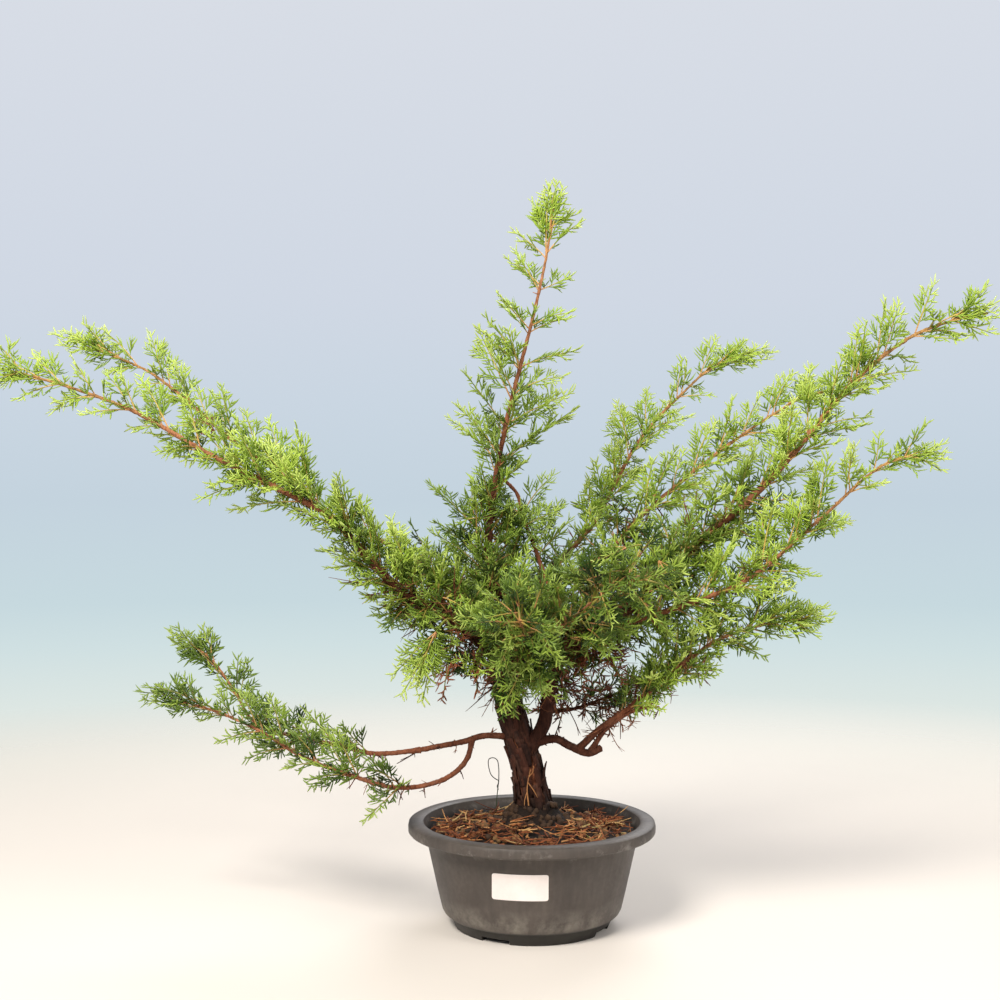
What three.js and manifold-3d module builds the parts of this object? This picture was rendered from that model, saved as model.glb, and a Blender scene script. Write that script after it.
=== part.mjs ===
// A young juniper trained as a bonsai, in a round plastic training pot.
// Millimetres, +Z up. The origin is the middle of the pot's underside, where it touches the table.
import * as THREE from "three";
import { mergeVertices } from "three/addons/utils/BufferGeometryUtils.js";
import Module from "manifold-3d";

// ---- Driving dimensions ------------------------------------------------------------------

const POT_HEIGHT = 88;
const RIM_RADIUS = 105;
const RIM_BAND = 9.5; // height of the turned-out rim
const MOUTH_RADIUS = 92; // inside edge of the rim's flat top
const WALL_TOP_RADIUS = 90.4; // outside of the wall, right under the rim
const WALL_FOOT_RADIUS = 76; // outside of the wall, above the step to the foot
const WALL = 2.8;
const STEP_HEIGHT = 15.4; // where the wall starts, over the rounded step
const FOOT_RADIUS = 65.4;
const FOOT_HEIGHT = 9.5;
const FOOT_FLARE = 4;
const FOOT_RING = 7; // how wide the ring is that the pot stands on
const FLOOR_UNDERSIDE = 5;
const FLOOR_TOP = 9;
const BOSS_RADIUS = 16; // centre pad, level with the foot ring
const NOTCH_COUNT = 4;
const NOTCH_WIDTH = 25;
const NOTCH_HEIGHT = 4;
const NOTCH_TURN = -118; // degrees from +X of the first of four notches
const DRAIN_COUNT = 4;
const DRAIN_RADIUS = 9;
const DRAIN_CIRCLE = 37;
const SCREEN_RADIUS = 13;
const SCREEN_THICKNESS = 1;

const SOIL_EDGE = 80; // height of the soil at the wall
const SOIL_FALL = 5; // how much lower it lies at the back
const SOIL_CROWN = 87; // and where it is drawn up round the trunk
const LITTER_THICKNESS = 3.5;

const LABEL_WIDTH = 45;
const LABEL_HEIGHT = 22;
const LABEL_THICKNESS = 0.4;
const LABEL_CORNER = 2;
const LABEL_AT = { x: -11, z: 52 };

const GAP = 0.3; // between pieces that touch
const CLEARANCE = 0.6; // grown round a limb or a spray group before it is cut from its neighbour
const ROUND = 40; // sides of the pot
const LIMB_SIDES = 6;
const SPRAY_SIDES = 7;
const SPRAY_STEPS = 6;

// ---- Materials ---------------------------------------------------------------------------

const finish = (color, roughness, metalness = 0) =>
  new THREE.MeshStandardMaterial({ color, roughness, metalness });
const potPlastic = () => finish(0x4a4644, 0.6);
const pottingSoil = () => finish(0x2d1f18, 0.95);
const dryLitter = () => finish(0xa8663a, 0.9);
const bark = () => finish(0x5a3424, 0.9);
const twigBark = () => finish(0x9c6540, 0.8);
const foliage = () => finish(0x6c8f3c, 0.75);
const labelPaper = () => finish(0xe8e0da, 0.5);
const tagWire = () => finish(0x5d5f58, 0.45, 0.8);
const meshPlastic = () => finish(0x2a2a2c, 0.6);

// ---- Solids ------------------------------------------------------------------------------

const wasm = await Module();
wasm.setup();

// A closed geometry with its shared corners merged and only its positions kept.
function welded(geometry) {
  const bare = new THREE.BufferGeometry();
  bare.setAttribute("position", geometry.getAttribute("position").clone());
  if (geometry.index) bare.setIndex(geometry.index.clone());
  return mergeVertices(bare, 1e-3);
}

function solid(geometry) {
  const joined = welded(geometry);
  return new wasm.Manifold(
    new wasm.Mesh({
      numProp: 3,
      vertProperties: joined.getAttribute("position").array,
      triVerts: new Uint32Array(joined.index.array),
    }),
  );
}

function geometryOf(manifold) {
  const mesh = manifold.getMesh();
  return new THREE.BufferGeometry()
    .setAttribute("position", new THREE.BufferAttribute(mesh.vertProperties, 3))
    .setIndex(new THREE.BufferAttribute(mesh.triVerts, 1));
}

// The largest of the bodies that a cut leaves.
function largest(manifold) {
  return manifold
    .decompose()
    .reduce((best, body) => (body.volume() > best.volume() ? body : best));
}

// The same geometry, every corner moved out along its normal.
function swollen(geometry, by) {
  const grown = welded(geometry);
  grown.computeVertexNormals();
  const at = grown.getAttribute("position");
  const normal = grown.getAttribute("normal");
  for (let i = 0; i < at.count; i++) {
    at.setXYZ(
      i,
      at.getX(i) + normal.getX(i) * by,
      at.getY(i) + normal.getY(i) * by,
      at.getZ(i) + normal.getZ(i) * by,
    );
  }
  return grown;
}

const swollenSolid = (manifold, by) => solid(swollen(geometryOf(manifold), by));

// A lathe about Z from a closed outline of [radius, height] points, counter-clockwise.
function turned(outline, sides = ROUND) {
  const profile = outline.map(([r, z]) => new THREE.Vector2(r, z));
  return new THREE.LatheGeometry(profile, sides).rotateX(Math.PI / 2);
}

// A closed body swept along a smooth route. radiusAt(t, angle) gives the section's half width,
// and flatness squeezes the section towards the plane whose normal lies nearest to `across`.
// The same body with some `room` is bigger all round by that much.
function swept(route, { steps, sides, radiusAt, flatness = 1, across = [0, 0, 1] }, room = 0) {
  const path = new THREE.CatmullRomCurve3(
    route.map((p) => new THREE.Vector3(...p)),
    false,
    "centripetal",
  );
  const geometry = new THREE.CylinderGeometry(1, 1, 1, sides, steps);
  const frames = path.computeFrenetFrames(steps, false);
  const at = geometry.getAttribute("position");
  const reference = new THREE.Vector3(...across);
  const local = new THREE.Vector3();
  for (let i = 0; i < at.count; i++) {
    local.fromBufferAttribute(at, i);
    const step = Math.round((local.y + 0.5) * steps);
    const t = step / steps;
    const reach = Math.min(1, Math.hypot(local.x, local.z));
    const angle = Math.atan2(local.z, local.x);
    const radius = reach * (radiusAt(t, angle) + room);
    let wide = frames.binormals[step];
    let thick = frames.normals[step];
    if (flatness !== 1) {
      wide = new THREE.Vector3().crossVectors(reference, frames.tangents[step]).normalize();
      thick = new THREE.Vector3().crossVectors(frames.tangents[step], wide);
    }
    const past = step === 0 ? -room : step === steps ? room : 0;
    const squeeze = (radius * flatness + reach * room * (1 - flatness)) * Math.sin(angle);
    const point = path
      .getPointAt(t)
      .addScaledVector(frames.tangents[step], past)
      .addScaledVector(wide, radius * Math.cos(angle))
      .addScaledVector(thick, squeeze);
    at.setXYZ(i, point.x, point.y, point.z);
  }
  return outward(geometry);
}

// Turns every face round if the body came out inside out.
function outward(geometry) {
  const joined = welded(geometry);
  const corner = [0, 1, 2].map(() => new THREE.Vector3());
  const at = joined.getAttribute("position");
  const index = joined.index.array;
  let volume = 0;
  for (let i = 0; i < index.length; i += 3) {
    corner.forEach((c, k) => c.fromBufferAttribute(at, index[i + k]));
    volume += corner[0].dot(corner[1].clone().cross(corner[2]));
  }
  if (volume < 0) {
    for (let i = 0; i < index.length; i += 3) {
      [index[i + 1], index[i + 2]] = [index[i + 2], index[i + 1]];
    }
  }
  return joined;
}

const part = new THREE.Group();

function addPiece(name, manifold, material) {
  const mesh = new THREE.Mesh(geometryOf(manifold), material);
  mesh.name = name;
  part.add(mesh);
  return manifold;
}

// ---- Pot ---------------------------------------------------------------------------------

// Radius of the outside of the wall at a height.
function wallRadius(z) {
  const share = (z - STEP_HEIGHT) / (POT_HEIGHT - RIM_BAND - STEP_HEIGHT);
  return WALL_FOOT_RADIUS + share * (WALL_TOP_RADIUS - WALL_FOOT_RADIUS);
}

function drainCentres() {
  return Array.from({ length: DRAIN_COUNT }, (_, i) => {
    const angle = ((i + 0.5) / DRAIN_COUNT) * 2 * Math.PI;
    return [DRAIN_CIRCLE * Math.cos(angle), DRAIN_CIRCLE * Math.sin(angle)];
  });
}

function uprightCylinder(x, y, low, high, radius, sides) {
  return new THREE.CylinderGeometry(radius, radius, high - low, sides)
    .rotateX(Math.PI / 2)
    .translate(x, y, (low + high) / 2);
}

function buildPot() {
  const rimBase = POT_HEIGHT - RIM_BAND;
  let pot = solid(
    turned([
      [0, 0],
      [BOSS_RADIUS, 0],
      [BOSS_RADIUS, FLOOR_UNDERSIDE],
      [FOOT_RADIUS - FOOT_RING, FLOOR_UNDERSIDE],
      [FOOT_RADIUS - FOOT_RING, 0],
      [FOOT_RADIUS, 0],
      [FOOT_RADIUS + FOOT_FLARE, FOOT_HEIGHT],
      [WALL_FOOT_RADIUS - 2, FOOT_HEIGHT + 1.8],
      [WALL_FOOT_RADIUS, STEP_HEIGHT],
      [WALL_TOP_RADIUS, rimBase],
      [RIM_RADIUS - 1, rimBase],
      [RIM_RADIUS, rimBase + 2],
      [RIM_RADIUS - 0.5, POT_HEIGHT - 1.5],
      [RIM_RADIUS - 3, POT_HEIGHT],
      [MOUTH_RADIUS + 1, POT_HEIGHT],
      [MOUTH_RADIUS, POT_HEIGHT - 1],
      [WALL_TOP_RADIUS - WALL, rimBase - 2],
      [WALL_FOOT_RADIUS - WALL, STEP_HEIGHT + 2],
      [FOOT_RADIUS, FLOOR_TOP],
      [0, FLOOR_TOP],
    ]),
  );
  for (let i = 0; i < NOTCH_COUNT; i++) {
    const notch = new THREE.BoxGeometry(FOOT_RING * 3, NOTCH_WIDTH, NOTCH_HEIGHT * 2)
      .translate(FOOT_RADIUS, 0, 0)
      .rotateZ(THREE.MathUtils.degToRad(NOTCH_TURN + (360 / NOTCH_COUNT) * i));
    pot = pot.subtract(solid(notch));
  }
  for (const [x, y] of drainCentres()) {
    pot = pot.subtract(solid(uprightCylinder(x, y, -1, FLOOR_TOP + 1, DRAIN_RADIUS, 16)));
  }
  return addPiece("pot", pot, potPlastic());
}

// Squares of plastic net over the drainage holes, under the soil.
function buildScreens() {
  return drainCentres().map(([x, y], i) =>
    addPiece(
      `drain_screen_${i + 1}`,
      solid(
        uprightCylinder(
          x,
          y,
          FLOOR_TOP + GAP,
          FLOOR_TOP + GAP + SCREEN_THICKNESS,
          SCREEN_RADIUS,
          12,
        ),
      ),
      meshPlastic(),
    ),
  );
}

// The blank label follows the wall's cone: a thin ring of the wall cut by its rounded outline.
function buildLabel() {
  const low = LABEL_AT.z - LABEL_HEIGHT / 2 - 4;
  const high = LABEL_AT.z + LABEL_HEIGHT / 2 + 4;
  const skin = solid(
    turned(
      [
        [wallRadius(low) + GAP, low],
        [wallRadius(low) + GAP + LABEL_THICKNESS, low],
        [wallRadius(high) + GAP + LABEL_THICKNESS, high],
        [wallRadius(high) + GAP, high],
        [wallRadius(low) + GAP, low],
      ],
      ROUND * 2,
    ),
  );
  const outline = new THREE.Shape();
  const w = LABEL_WIDTH / 2;
  const h = LABEL_HEIGHT / 2;
  const c = LABEL_CORNER;
  outline.moveTo(-w + c, -h);
  outline.lineTo(w - c, -h).absarc(w - c, -h + c, c, -Math.PI / 2, 0);
  outline.lineTo(w, h - c).absarc(w - c, h - c, c, 0, Math.PI / 2);
  outline.lineTo(-w + c, h).absarc(-w + c, h - c, c, Math.PI / 2, Math.PI);
  outline.lineTo(-w, -h + c).absarc(-w + c, -h + c, c, Math.PI, 1.5 * Math.PI);
  const window = new THREE.ExtrudeGeometry(outline, {
    depth: RIM_RADIUS,
    bevelEnabled: false,
    curveSegments: 3,
  })
    .rotateX(Math.PI / 2)
    .translate(LABEL_AT.x, 0, LABEL_AT.z);
  addPiece("label", skin.intersect(solid(window)), labelPaper());
}

// ---- Wood --------------------------------------------------------------------------------

// A limb tapers from its first radius to its last along its route.
function limb(route, [thick, thin], room = 0) {
  const steps = Math.round(route.length * 1.6);
  const radiusAt = (t) => thick + (thin - thick) * t;
  return swept(route, { steps, sides: LIMB_SIDES, radiusAt }, room);
}

// The trunk flares into its root crown below the soil line.
const TRUNK_ROUTE = [
  [1, 2, 60],
  [2, 1, 92],
  [-1, 0, 117],
  [-6, 0, 140],
  [-14, 1, 165],
  [-21, 4, 190],
  [-26, 8, 225],
];
function trunkRadius(t) {
  const crown = 9 * Math.exp(-t * 9);
  return 15.5 + crown - 8 * Math.max(0, t - 0.35);
}

const LIMBS = {
  leader: [
    { route: [[-26, 8, 227], [-34, 14, 273], [-37, 16, 310], [-35, 18, 345]], radii: [7.5, 2.8] },
    {
      route: [[-35, 18, 343], [-30, 20, 382], [-19, 18, 438], [-9, 14, 477], [1, 14, 515],
        [12, 10, 564], [19, 6, 612]],
      radii: [2.6, 0.9],
    },
    {
      route: [[32, -8, 244], [20, 4, 272], [8, 13, 304], [-1, 16, 329], [-8, 17, 345],
        [-12, 17, 364], [-27, 20, 380]],
      radii: [2.1, 1.5],
    },
  ],
  right_stem: [
    {
      route: [[-6, -1, 146], [10, -6, 170], [14, -8, 190], [20, -8, 216], [34, -12, 241],
        [65, -25, 258]],
      radii: [5.5, 4.6],
    },
  ],
  left_low_branch: [
    { route: [[-14, -1, 158], [-40, -8, 160], [-59, -14, 156], [-94, -20, 150]], radii: [3.4, 2.3] },
    {
      route: [[-92, -20, 150], [-132, -20, 147], [-166, -10, 153], [-206, 0, 159], [-240, 10, 171],
        [-256, 15, 195], [-278, 21, 222], [-296, 25, 234]],
      radii: [2.3, 0.9],
    },
    {
      route: [[-52, -12, 157], [-55, -22, 142], [-72, -35, 129], [-109, -48, 124],
        [-149, -55, 136], [-191, -45, 150], [-225, -30, 167], [-270, -20, 184], [-308, -15, 193]],
      radii: [2.6, 0.9],
    },
  ],
  left_high_branch: [
    {
      route: [[-26, 8, 222], [-69, -5, 260], [-96, -15, 274], [-122, -25, 295], [-160, -32, 338],
        [-177, -33, 353]],
      radii: [4.4, 3],
    },
    {
      route: [[-176, -33, 352], [-221, -35, 374], [-271, -40, 400], [-331, -50, 434],
        [-407, -60, 460], [-436, -62, 466]],
      radii: [2.8, 0.8],
    },
    {
      route: [[-166, -32, 344], [-204, -10, 378], [-251, 10, 406], [-309, 35, 453],
        [-341, 40, 475], [-395, 45, 496]],
      radii: [2.4, 0.8],
    },
  ],
  left_cut_branch: [
    { route: [[-33, 13, 262], [-70, 20, 282], [-97, 30, 297], [-121, 40, 317], [-144, 45, 330]],
      radii: [2.8, 1.9] },
  ],
  right_high_branch: [
    {
      route: [[58, -22, 254], [100, -35, 289], [138, -40, 326], [176, -45, 358], [212, -50, 397],
        [262, -60, 458], [304, -70, 491], [340, -76, 504], [362, -79, 508]],
      radii: [4.6, 0.9],
    },
  ],
  right_rear_branch: [
    {
      route: [[-33, 14, 262], [-10, 30, 275], [27, 70, 305], [61, 100, 340], [79, 115, 373],
        [108, 125, 421], [146, 130, 461], [178, 135, 488], [205, 136, 494]],
      radii: [3.2, 0.8],
    },
  ],
  right_middle_branch: [
    {
      route: [[-34, 15, 280], [0, 24, 284], [61, 40, 307], [95, 60, 341], [149, 75, 386],
        [206, 85, 427], [246, 85, 451], [272, 85, 459]],
      radii: [3, 0.8],
    },
  ],
  right_outer_branch: [
    {
      route: [[50, -18, 252], [87, -50, 262], [133, -70, 279], [171, -80, 297], [228, -85, 346],
        [280, -85, 389], [318, -85, 396]],
      radii: [2.6, 0.8],
    },
  ],
  right_low_branch: [
    { route: [[-2, -2, 152], [19, -12, 158], [32, -20, 153], [46, -26, 149], [58, -30, 154]],
      radii: [4.2, 3.6] },
    {
      route: [[38, -23, 151], [54, -30, 168], [76, -38, 185], [96, -45, 203], [120, -55, 225],
        [149, -60, 246], [183, -62, 258], [222, -64, 264]],
      radii: [3.2, 0.8],
    },
  ],
  right_inner_branch: [
    {
      route: [[12, -7, 180], [37, 5, 181], [64, 15, 189], [95, 25, 199], [131, 35, 209],
        [156, 42, 218]],
      radii: [1.7, 0.8],
    },
  ],
  front_branch: [
    { route: [[-24, 6, 208], [-15, -35, 226], [-8, -80, 250], [-12, -125, 268]], radii: [3, 0.8] },
    { route: [[-16, -30, 224], [20, -62, 252], [52, -92, 284], [80, -112, 300]], radii: [2.2, 0.8] },
  ],
  rear_branch: [
    { route: [[-27, 10, 228], [-22, 50, 246], [-20, 100, 262], [-30, 150, 280]], radii: [3.2, 0.8] },
    { route: [[-22, 50, 245], [20, 90, 262], [55, 125, 288]], radii: [2.2, 0.8] },
    { route: [[-22, 60, 249], [-65, 95, 275], [-105, 125, 300]], radii: [2.2, 0.8] },
  ],
};

const TRUNK_SHAPE = {
  steps: 12,
  sides: 10,
  radiusAt: (t, angle) => trunkRadius(t) * (1 + 0.07 * Math.sin(3 * angle + 5 * t)),
};

// Each later limb is cut back to a clear gap from the wood it springs from.
// Returns the room that each piece of wood takes, for what is cut round it.
function buildWood() {
  addPiece("trunk", solid(swept(TRUNK_ROUTE, TRUNK_SHAPE)), bark());
  const taken = [solid(swept(TRUNK_ROUTE, TRUNK_SHAPE, CLEARANCE))];
  for (const [name, forks] of Object.entries(LIMBS)) {
    const joined = (room) =>
      forks.map(({ route, radii }) => solid(limb(route, radii, room))).reduce((a, b) => a.add(b));
    const clear = largest(taken.reduce((left, other) => left.subtract(other), joined(0)));
    const slim = forks[0].radii[0] < 4;
    addPiece(name, clear, slim ? twigBark() : bark());
    taken.push(joined(CLEARANCE));
  }
  return taken;
}

// ---- Foliage -----------------------------------------------------------------------------

// Each spray group is the envelope of the scale-leaf sprays on one stretch of twig:
// a lumpy body that swells from the twig and thins to its tip. [route, half width, flatness]
const SPRAYS = {
  sprays_left_low_inner: [[[-82, -42, 137], [-104, -47, 122], [-122, -48, 96]], 24, 0.8],
  sprays_left_low_middle: [[[-128, -38, 146], [-152, -48, 138], [-176, -50, 118]], 21, 0.8],
  sprays_left_low_main: [[[-160, -10, 152], [-195, -3, 161], [-236, 6, 174]], 27, 0.75],
  sprays_left_low_under: [[[-180, -48, 140], [-205, -48, 130], [-234, -42, 117]], 18, 0.8],
  sprays_left_low_outer: [[[-228, -28, 168], [-272, -20, 184], [-326, -14, 196]], 20, 0.6],
  sprays_left_low_tip: [[[-250, 12, 186], [-264, 18, 210], [-284, 23, 230], [-312, 28, 235]], 20, 0.6],
  sprays_left_high_tip: [[[-318, -48, 428], [-352, -53, 446], [-400, -58, 462], [-449, -63, 469]], 22, 0.6],
  sprays_left_high_outer: [[[-240, -38, 386], [-272, -42, 402], [-312, -48, 424]], 32, 0.75],
  sprays_left_high_rear_tip: [[[-348, 41, 478], [-378, 44, 490], [-408, 46, 500]], 19, 0.6],
  sprays_left_high_rear: [[[-262, 14, 416], [-292, 29, 438], [-332, 39, 466]], 24, 0.7],
  sprays_left_high_middle: [[[-160, -32, 342], [-200, -34, 364], [-244, -37, 386]], 42, 0.75],
  sprays_left_high_under: [[[-106, -20, 270], [-146, -30, 288], [-196, -34, 318]], 38, 0.7],
  sprays_left_high_inner: [[[-60, -6, 290], [-100, -16, 315], [-150, -30, 345]], 44, 0.8],
  sprays_leader_top: [[[14, 9, 572], [18, 7, 596], [18, 5, 624]], 25, 0.99, [0, 1, 0]],
  sprays_leader_upper: [[[-6, 14, 490], [5, 12, 530], [13, 10, 568]], 33, 0.99, [0, 1, 0]],
  sprays_leader_middle: [[[-30, 20, 390], [-18, 18, 440], [-5, 14, 492]], 50, 0.9, [0, 1, 0]],
  sprays_leader_lower: [[[-38, 16, 290], [-34, 19, 340], [-29, 20, 396]], 62, 0.9, [0, 1, 0]],
  sprays_crown_left: [[[-34, 4, 232], [-78, -6, 248], [-132, -16, 262]], 48, 0.75],
  sprays_crown_front: [[[-18, -20, 222], [-10, -80, 248], [-12, -150, 268]], 58, 0.7],
  sprays_crown_front_right: [[[22, -40, 250], [56, -90, 282], [92, -130, 302]], 52, 0.75],
  sprays_crown_rear: [[[-24, 50, 244], [-20, 105, 262], [-32, 172, 284]], 58, 0.7],
  sprays_crown_rear_left: [[[-50, 80, 268], [-80, 108, 288], [-126, 142, 312]], 46, 0.75],
  sprays_crown_rear_right: [[[15, 80, 262], [50, 118, 284], [85, 152, 306]], 46, 0.75],
  sprays_crown_right: [[[34, -8, 244], [60, 10, 275], [96, 30, 315]], 52, 0.8],
  sprays_right_high_inner: [[[92, -34, 284], [138, -40, 326], [184, -46, 368]], 46, 0.8],
  sprays_right_high_middle: [[[190, -48, 375], [226, -54, 412], [272, -62, 462]], 42, 0.75],
  sprays_right_high_tip: [[[288, -67, 482], [338, -76, 504], [376, -80, 507]], 26, 0.6],
  sprays_right_rear_inner: [[[40, 84, 318], [70, 106, 358], [104, 124, 414]], 44, 0.8],
  sprays_right_rear_tip: [[[112, 126, 428], [158, 133, 474], [214, 138, 487]], 26, 0.6],
  sprays_right_middle: [[[88, 58, 334], [138, 72, 378], [194, 83, 420]], 40, 0.75],
  sprays_right_middle_tip: [[[200, 84, 424], [246, 86, 452], [296, 86, 446]], 24, 0.6],
  sprays_right_outer: [[[110, -62, 270], [168, -80, 298], [228, -86, 346]], 40, 0.75],
  sprays_right_outer_tip: [[[240, -86, 357], [286, -86, 392], [346, -86, 390]], 24, 0.6],
  sprays_right_low: [[[88, -42, 196], [140, -60, 238], [230, -66, 268]], 38, 0.7],
  sprays_right_inner: [[[70, 17, 190], [112, 30, 204], [164, 44, 220]], 30, 0.7],
};

// Narrow where it leaves the twig, widest past the middle, thin at the tip, and lumpy all over.
function sprayRadius(halfWidth, seed) {
  return (t, angle) => {
    const swell = Math.pow(Math.sin(Math.PI * Math.pow(0.04 + 0.94 * t, 0.9)), 0.6);
    const lumps = 1 + 0.14 * Math.sin(3 * angle + 9 * t + seed) + 0.08 * Math.sin(5 * angle - 7 * t);
    return Math.max(1.5, halfWidth * swell * lumps);
  };
}

function buildFoliage(wood) {
  const taken = [...wood];
  let seed = 0;
  for (const [name, [route, halfWidth, flatness, across]] of Object.entries(SPRAYS)) {
    seed += 1.7;
    const radiusAt = sprayRadius(halfWidth, seed);
    const shape = { steps: SPRAY_STEPS, sides: SPRAY_SIDES, radiusAt, flatness, across };
    const envelope = (room) => solid(swept(route, shape, room));
    const clear = largest(taken.reduce((left, other) => left.subtract(other), envelope(0)));
    addPiece(name, clear, foliage());
    taken.push(envelope(CLEARANCE));
  }
}

// ---- Soil and what lies on it ------------------------------------------------------------

const inside = (z) => wallRadius(z) - WALL - GAP - 0.6;

// Lets everything above the pot's mid height sink towards the back.
function sunkenAtBack(geometry) {
  const at = geometry.getAttribute("position");
  for (let i = 0; i < at.count; i++) {
    if (at.getZ(i) < POT_HEIGHT / 2) continue;
    const back = Math.max(0, at.getY(i)) / MOUTH_RADIUS;
    at.setZ(i, at.getZ(i) - SOIL_FALL * back);
  }
  return geometry;
}

function soilHeight(radius) {
  const share = Math.min(1, Math.max(0, (radius - 18) / (inside(SOIL_EDGE) - 18)));
  return SOIL_CROWN - (SOIL_CROWN - SOIL_EDGE) * share * share;
}

function buildSoil(keepOff) {
  const rings = [0, 18, 40, 60, 75];
  const top = rings.map((r) => [r, soilHeight(r)]).reverse();
  const bed = solid(
    sunkenAtBack(
      turned([
        [0, FLOOR_TOP + GAP],
        [FOOT_RADIUS - 1, FLOOR_TOP + GAP],
        [inside(STEP_HEIGHT + 3) - 1, STEP_HEIGHT + 3],
        [inside(SOIL_EDGE - SOIL_FALL), SOIL_EDGE],
        ...top,
      ]),
    ),
  );
  const clear = keepOff.reduce((left, other) => left.subtract(other), bed);
  addPiece("potting_soil", largest(clear), pottingSoil());
}

// Dry needle litter lies in loose drifts on the soil, most of it at the front and the sides.
const DRIFTS = {
  litter_left: [[-84, 20], [-60, 30], [-36, 6], [-28, -20], [-20, -36], [-14, -88], [-88, -88]],
  litter_right: [[88, 30], [60, 34], [38, 22], [30, -10], [14, -34], [-10, -38], [-4, -88], [88, -88]],
};

function buildLitter(keepOff) {
  const low = (r) => soilHeight(r) + GAP;
  const rings = [24, 40, 60, 75, 84];
  const outline = [
    ...rings.map((r) => [r, low(r)]),
    ...rings.reverse().map((r) => [r, low(r) + LITTER_THICKNESS]),
  ];
  const layer = solid(sunkenAtBack(turned([...outline, outline[0]])));
  for (const [name, corners] of Object.entries(DRIFTS)) {
    const patch = new THREE.Shape(corners.map(([x, y]) => new THREE.Vector2(x, y)));
    const prism = new THREE.ExtrudeGeometry(patch, { depth: POT_HEIGHT * 2, bevelEnabled: false });
    const drift = keepOff.reduce(
      (left, other) => left.subtract(other),
      layer.intersect(solid(prism)),
    );
    addPiece(name, largest(drift), dryLitter());
  }
}

// A thin tag wire stands in the soil behind the trunk, its top bent into an open loop.
function buildTagWire() {
  const route = [[-31, 34, 70], [-30, 34, 96], [-28.5, 33, 114], [-31, 33, 115.5], [-36, 32, 122],
    [-37, 32, 130], [-33, 32, 133.5], [-29, 33, 131], [-28, 33, 119]];
  const path = new THREE.CatmullRomCurve3(route.map((p) => new THREE.Vector3(...p)));
  const section = new THREE.Shape().absarc(0, 0, 0.5, 0, 2 * Math.PI);
  const wire = new THREE.ExtrudeGeometry(section, {
    steps: 26,
    curveSegments: 3,
    extrudePath: path,
  });
  return addPiece("tag_wire", solid(outward(wire)), tagWire());
}

// A forked scrap of dead twig that has caught on the bark.
function buildCaughtTwig(trunkRoom) {
  const twig = solid(limb([[-3, -17.4, 104], [-4, -17.2, 118], [-1.5, -16.8, 132]], [0.7, 0.5]))
    .add(solid(limb([[-3.2, -17.3, 122], [1.5, -17.6, 116], [4, -17.8, 111]], [0.6, 0.4])));
  const clear = largest(twig.subtract(trunkRoom));
  addPiece("caught_twig", clear, dryLitter());
}

// ---- Assembly ----------------------------------------------------------------------------

buildPot();
const screens = buildScreens();
buildLabel();
const wood = buildWood();
buildFoliage(wood);
const wire = buildTagWire();
buildCaughtTwig(wood[0]);
const standing = [wood[0], swollenSolid(wire, GAP)];
buildSoil([...screens.map((screen) => swollenSolid(screen, GAP)), ...standing]);
buildLitter(standing);

export default part;
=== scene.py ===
# %% [markdown]
# A young juniper trained as a bonsai. A rough, slightly leaning trunk stands in a round plastic
# training pot and throws long whippy branches to both sides, all set with sprays of fine scale
# leaves. Everything here is built round a fixed frame of CAD solids, in metres, with the origin
# under the middle of the pot, so each new piece goes where its solid says.

# %% Load the frame
import math

import bpy
import numpy as np
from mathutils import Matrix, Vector, noise


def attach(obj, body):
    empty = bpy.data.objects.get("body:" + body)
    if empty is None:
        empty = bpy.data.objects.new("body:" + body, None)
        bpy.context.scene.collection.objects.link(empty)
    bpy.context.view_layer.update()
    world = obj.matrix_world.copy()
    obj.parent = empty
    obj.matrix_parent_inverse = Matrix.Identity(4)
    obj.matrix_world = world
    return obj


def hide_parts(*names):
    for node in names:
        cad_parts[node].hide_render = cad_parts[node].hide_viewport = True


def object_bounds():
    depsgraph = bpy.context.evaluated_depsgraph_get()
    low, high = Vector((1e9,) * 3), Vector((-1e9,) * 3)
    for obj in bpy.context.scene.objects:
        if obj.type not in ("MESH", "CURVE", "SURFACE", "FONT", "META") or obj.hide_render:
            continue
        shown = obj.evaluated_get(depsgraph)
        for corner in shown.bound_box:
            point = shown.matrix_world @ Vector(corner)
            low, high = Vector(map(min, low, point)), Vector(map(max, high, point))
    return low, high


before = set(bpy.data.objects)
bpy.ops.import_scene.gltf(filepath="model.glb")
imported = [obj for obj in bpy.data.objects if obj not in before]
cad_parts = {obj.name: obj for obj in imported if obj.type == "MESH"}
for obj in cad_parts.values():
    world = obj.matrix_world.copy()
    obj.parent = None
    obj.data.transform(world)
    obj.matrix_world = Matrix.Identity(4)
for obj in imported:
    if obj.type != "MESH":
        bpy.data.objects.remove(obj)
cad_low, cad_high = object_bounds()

MM = 0.001
print("solids:", len(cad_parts), "box:", [round(v, 3) for v in (*cad_low, *cad_high)])


# %% [markdown]
# The camera comes first, because every later look is judged through it. It is a mild telephoto
# lens a little over a metre away, level, at a little over half the tree's height, so the pot's
# mouth is seen from above and the leader against the sky.

# %% Camera
bpy.ops.object.select_all(action="DESELECT")
bpy.ops.object.camera_add(location=(-0.027, -1.209, 0.3594), rotation=(math.pi / 2, 0, 0))
camera = bpy.context.object
camera.data.sensor_width = 36
camera.data.lens = 51.12
bpy.context.scene.camera = camera
print("camera:", [round(v, 3) for v in camera.location])


# %% [markdown]
# Colours are easier to choose as the 0-255 values that a paint chart gives, but shaders work in
# linear light. One small function turns the first into the second, and a few more helpers put
# nodes into a material by name, so that each material below reads as a list of its effects.

# %% Colour and node helpers
def paint(red, green, blue):
    """A chart colour, 0-255, as linear RGBA."""
    channels = [c / 255 for c in (red, green, blue)]
    linear = [c / 12.92 if c < 0.04045 else ((c + 0.055) / 1.055) ** 2.4 for c in channels]
    return (*linear, 1.0)


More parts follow.
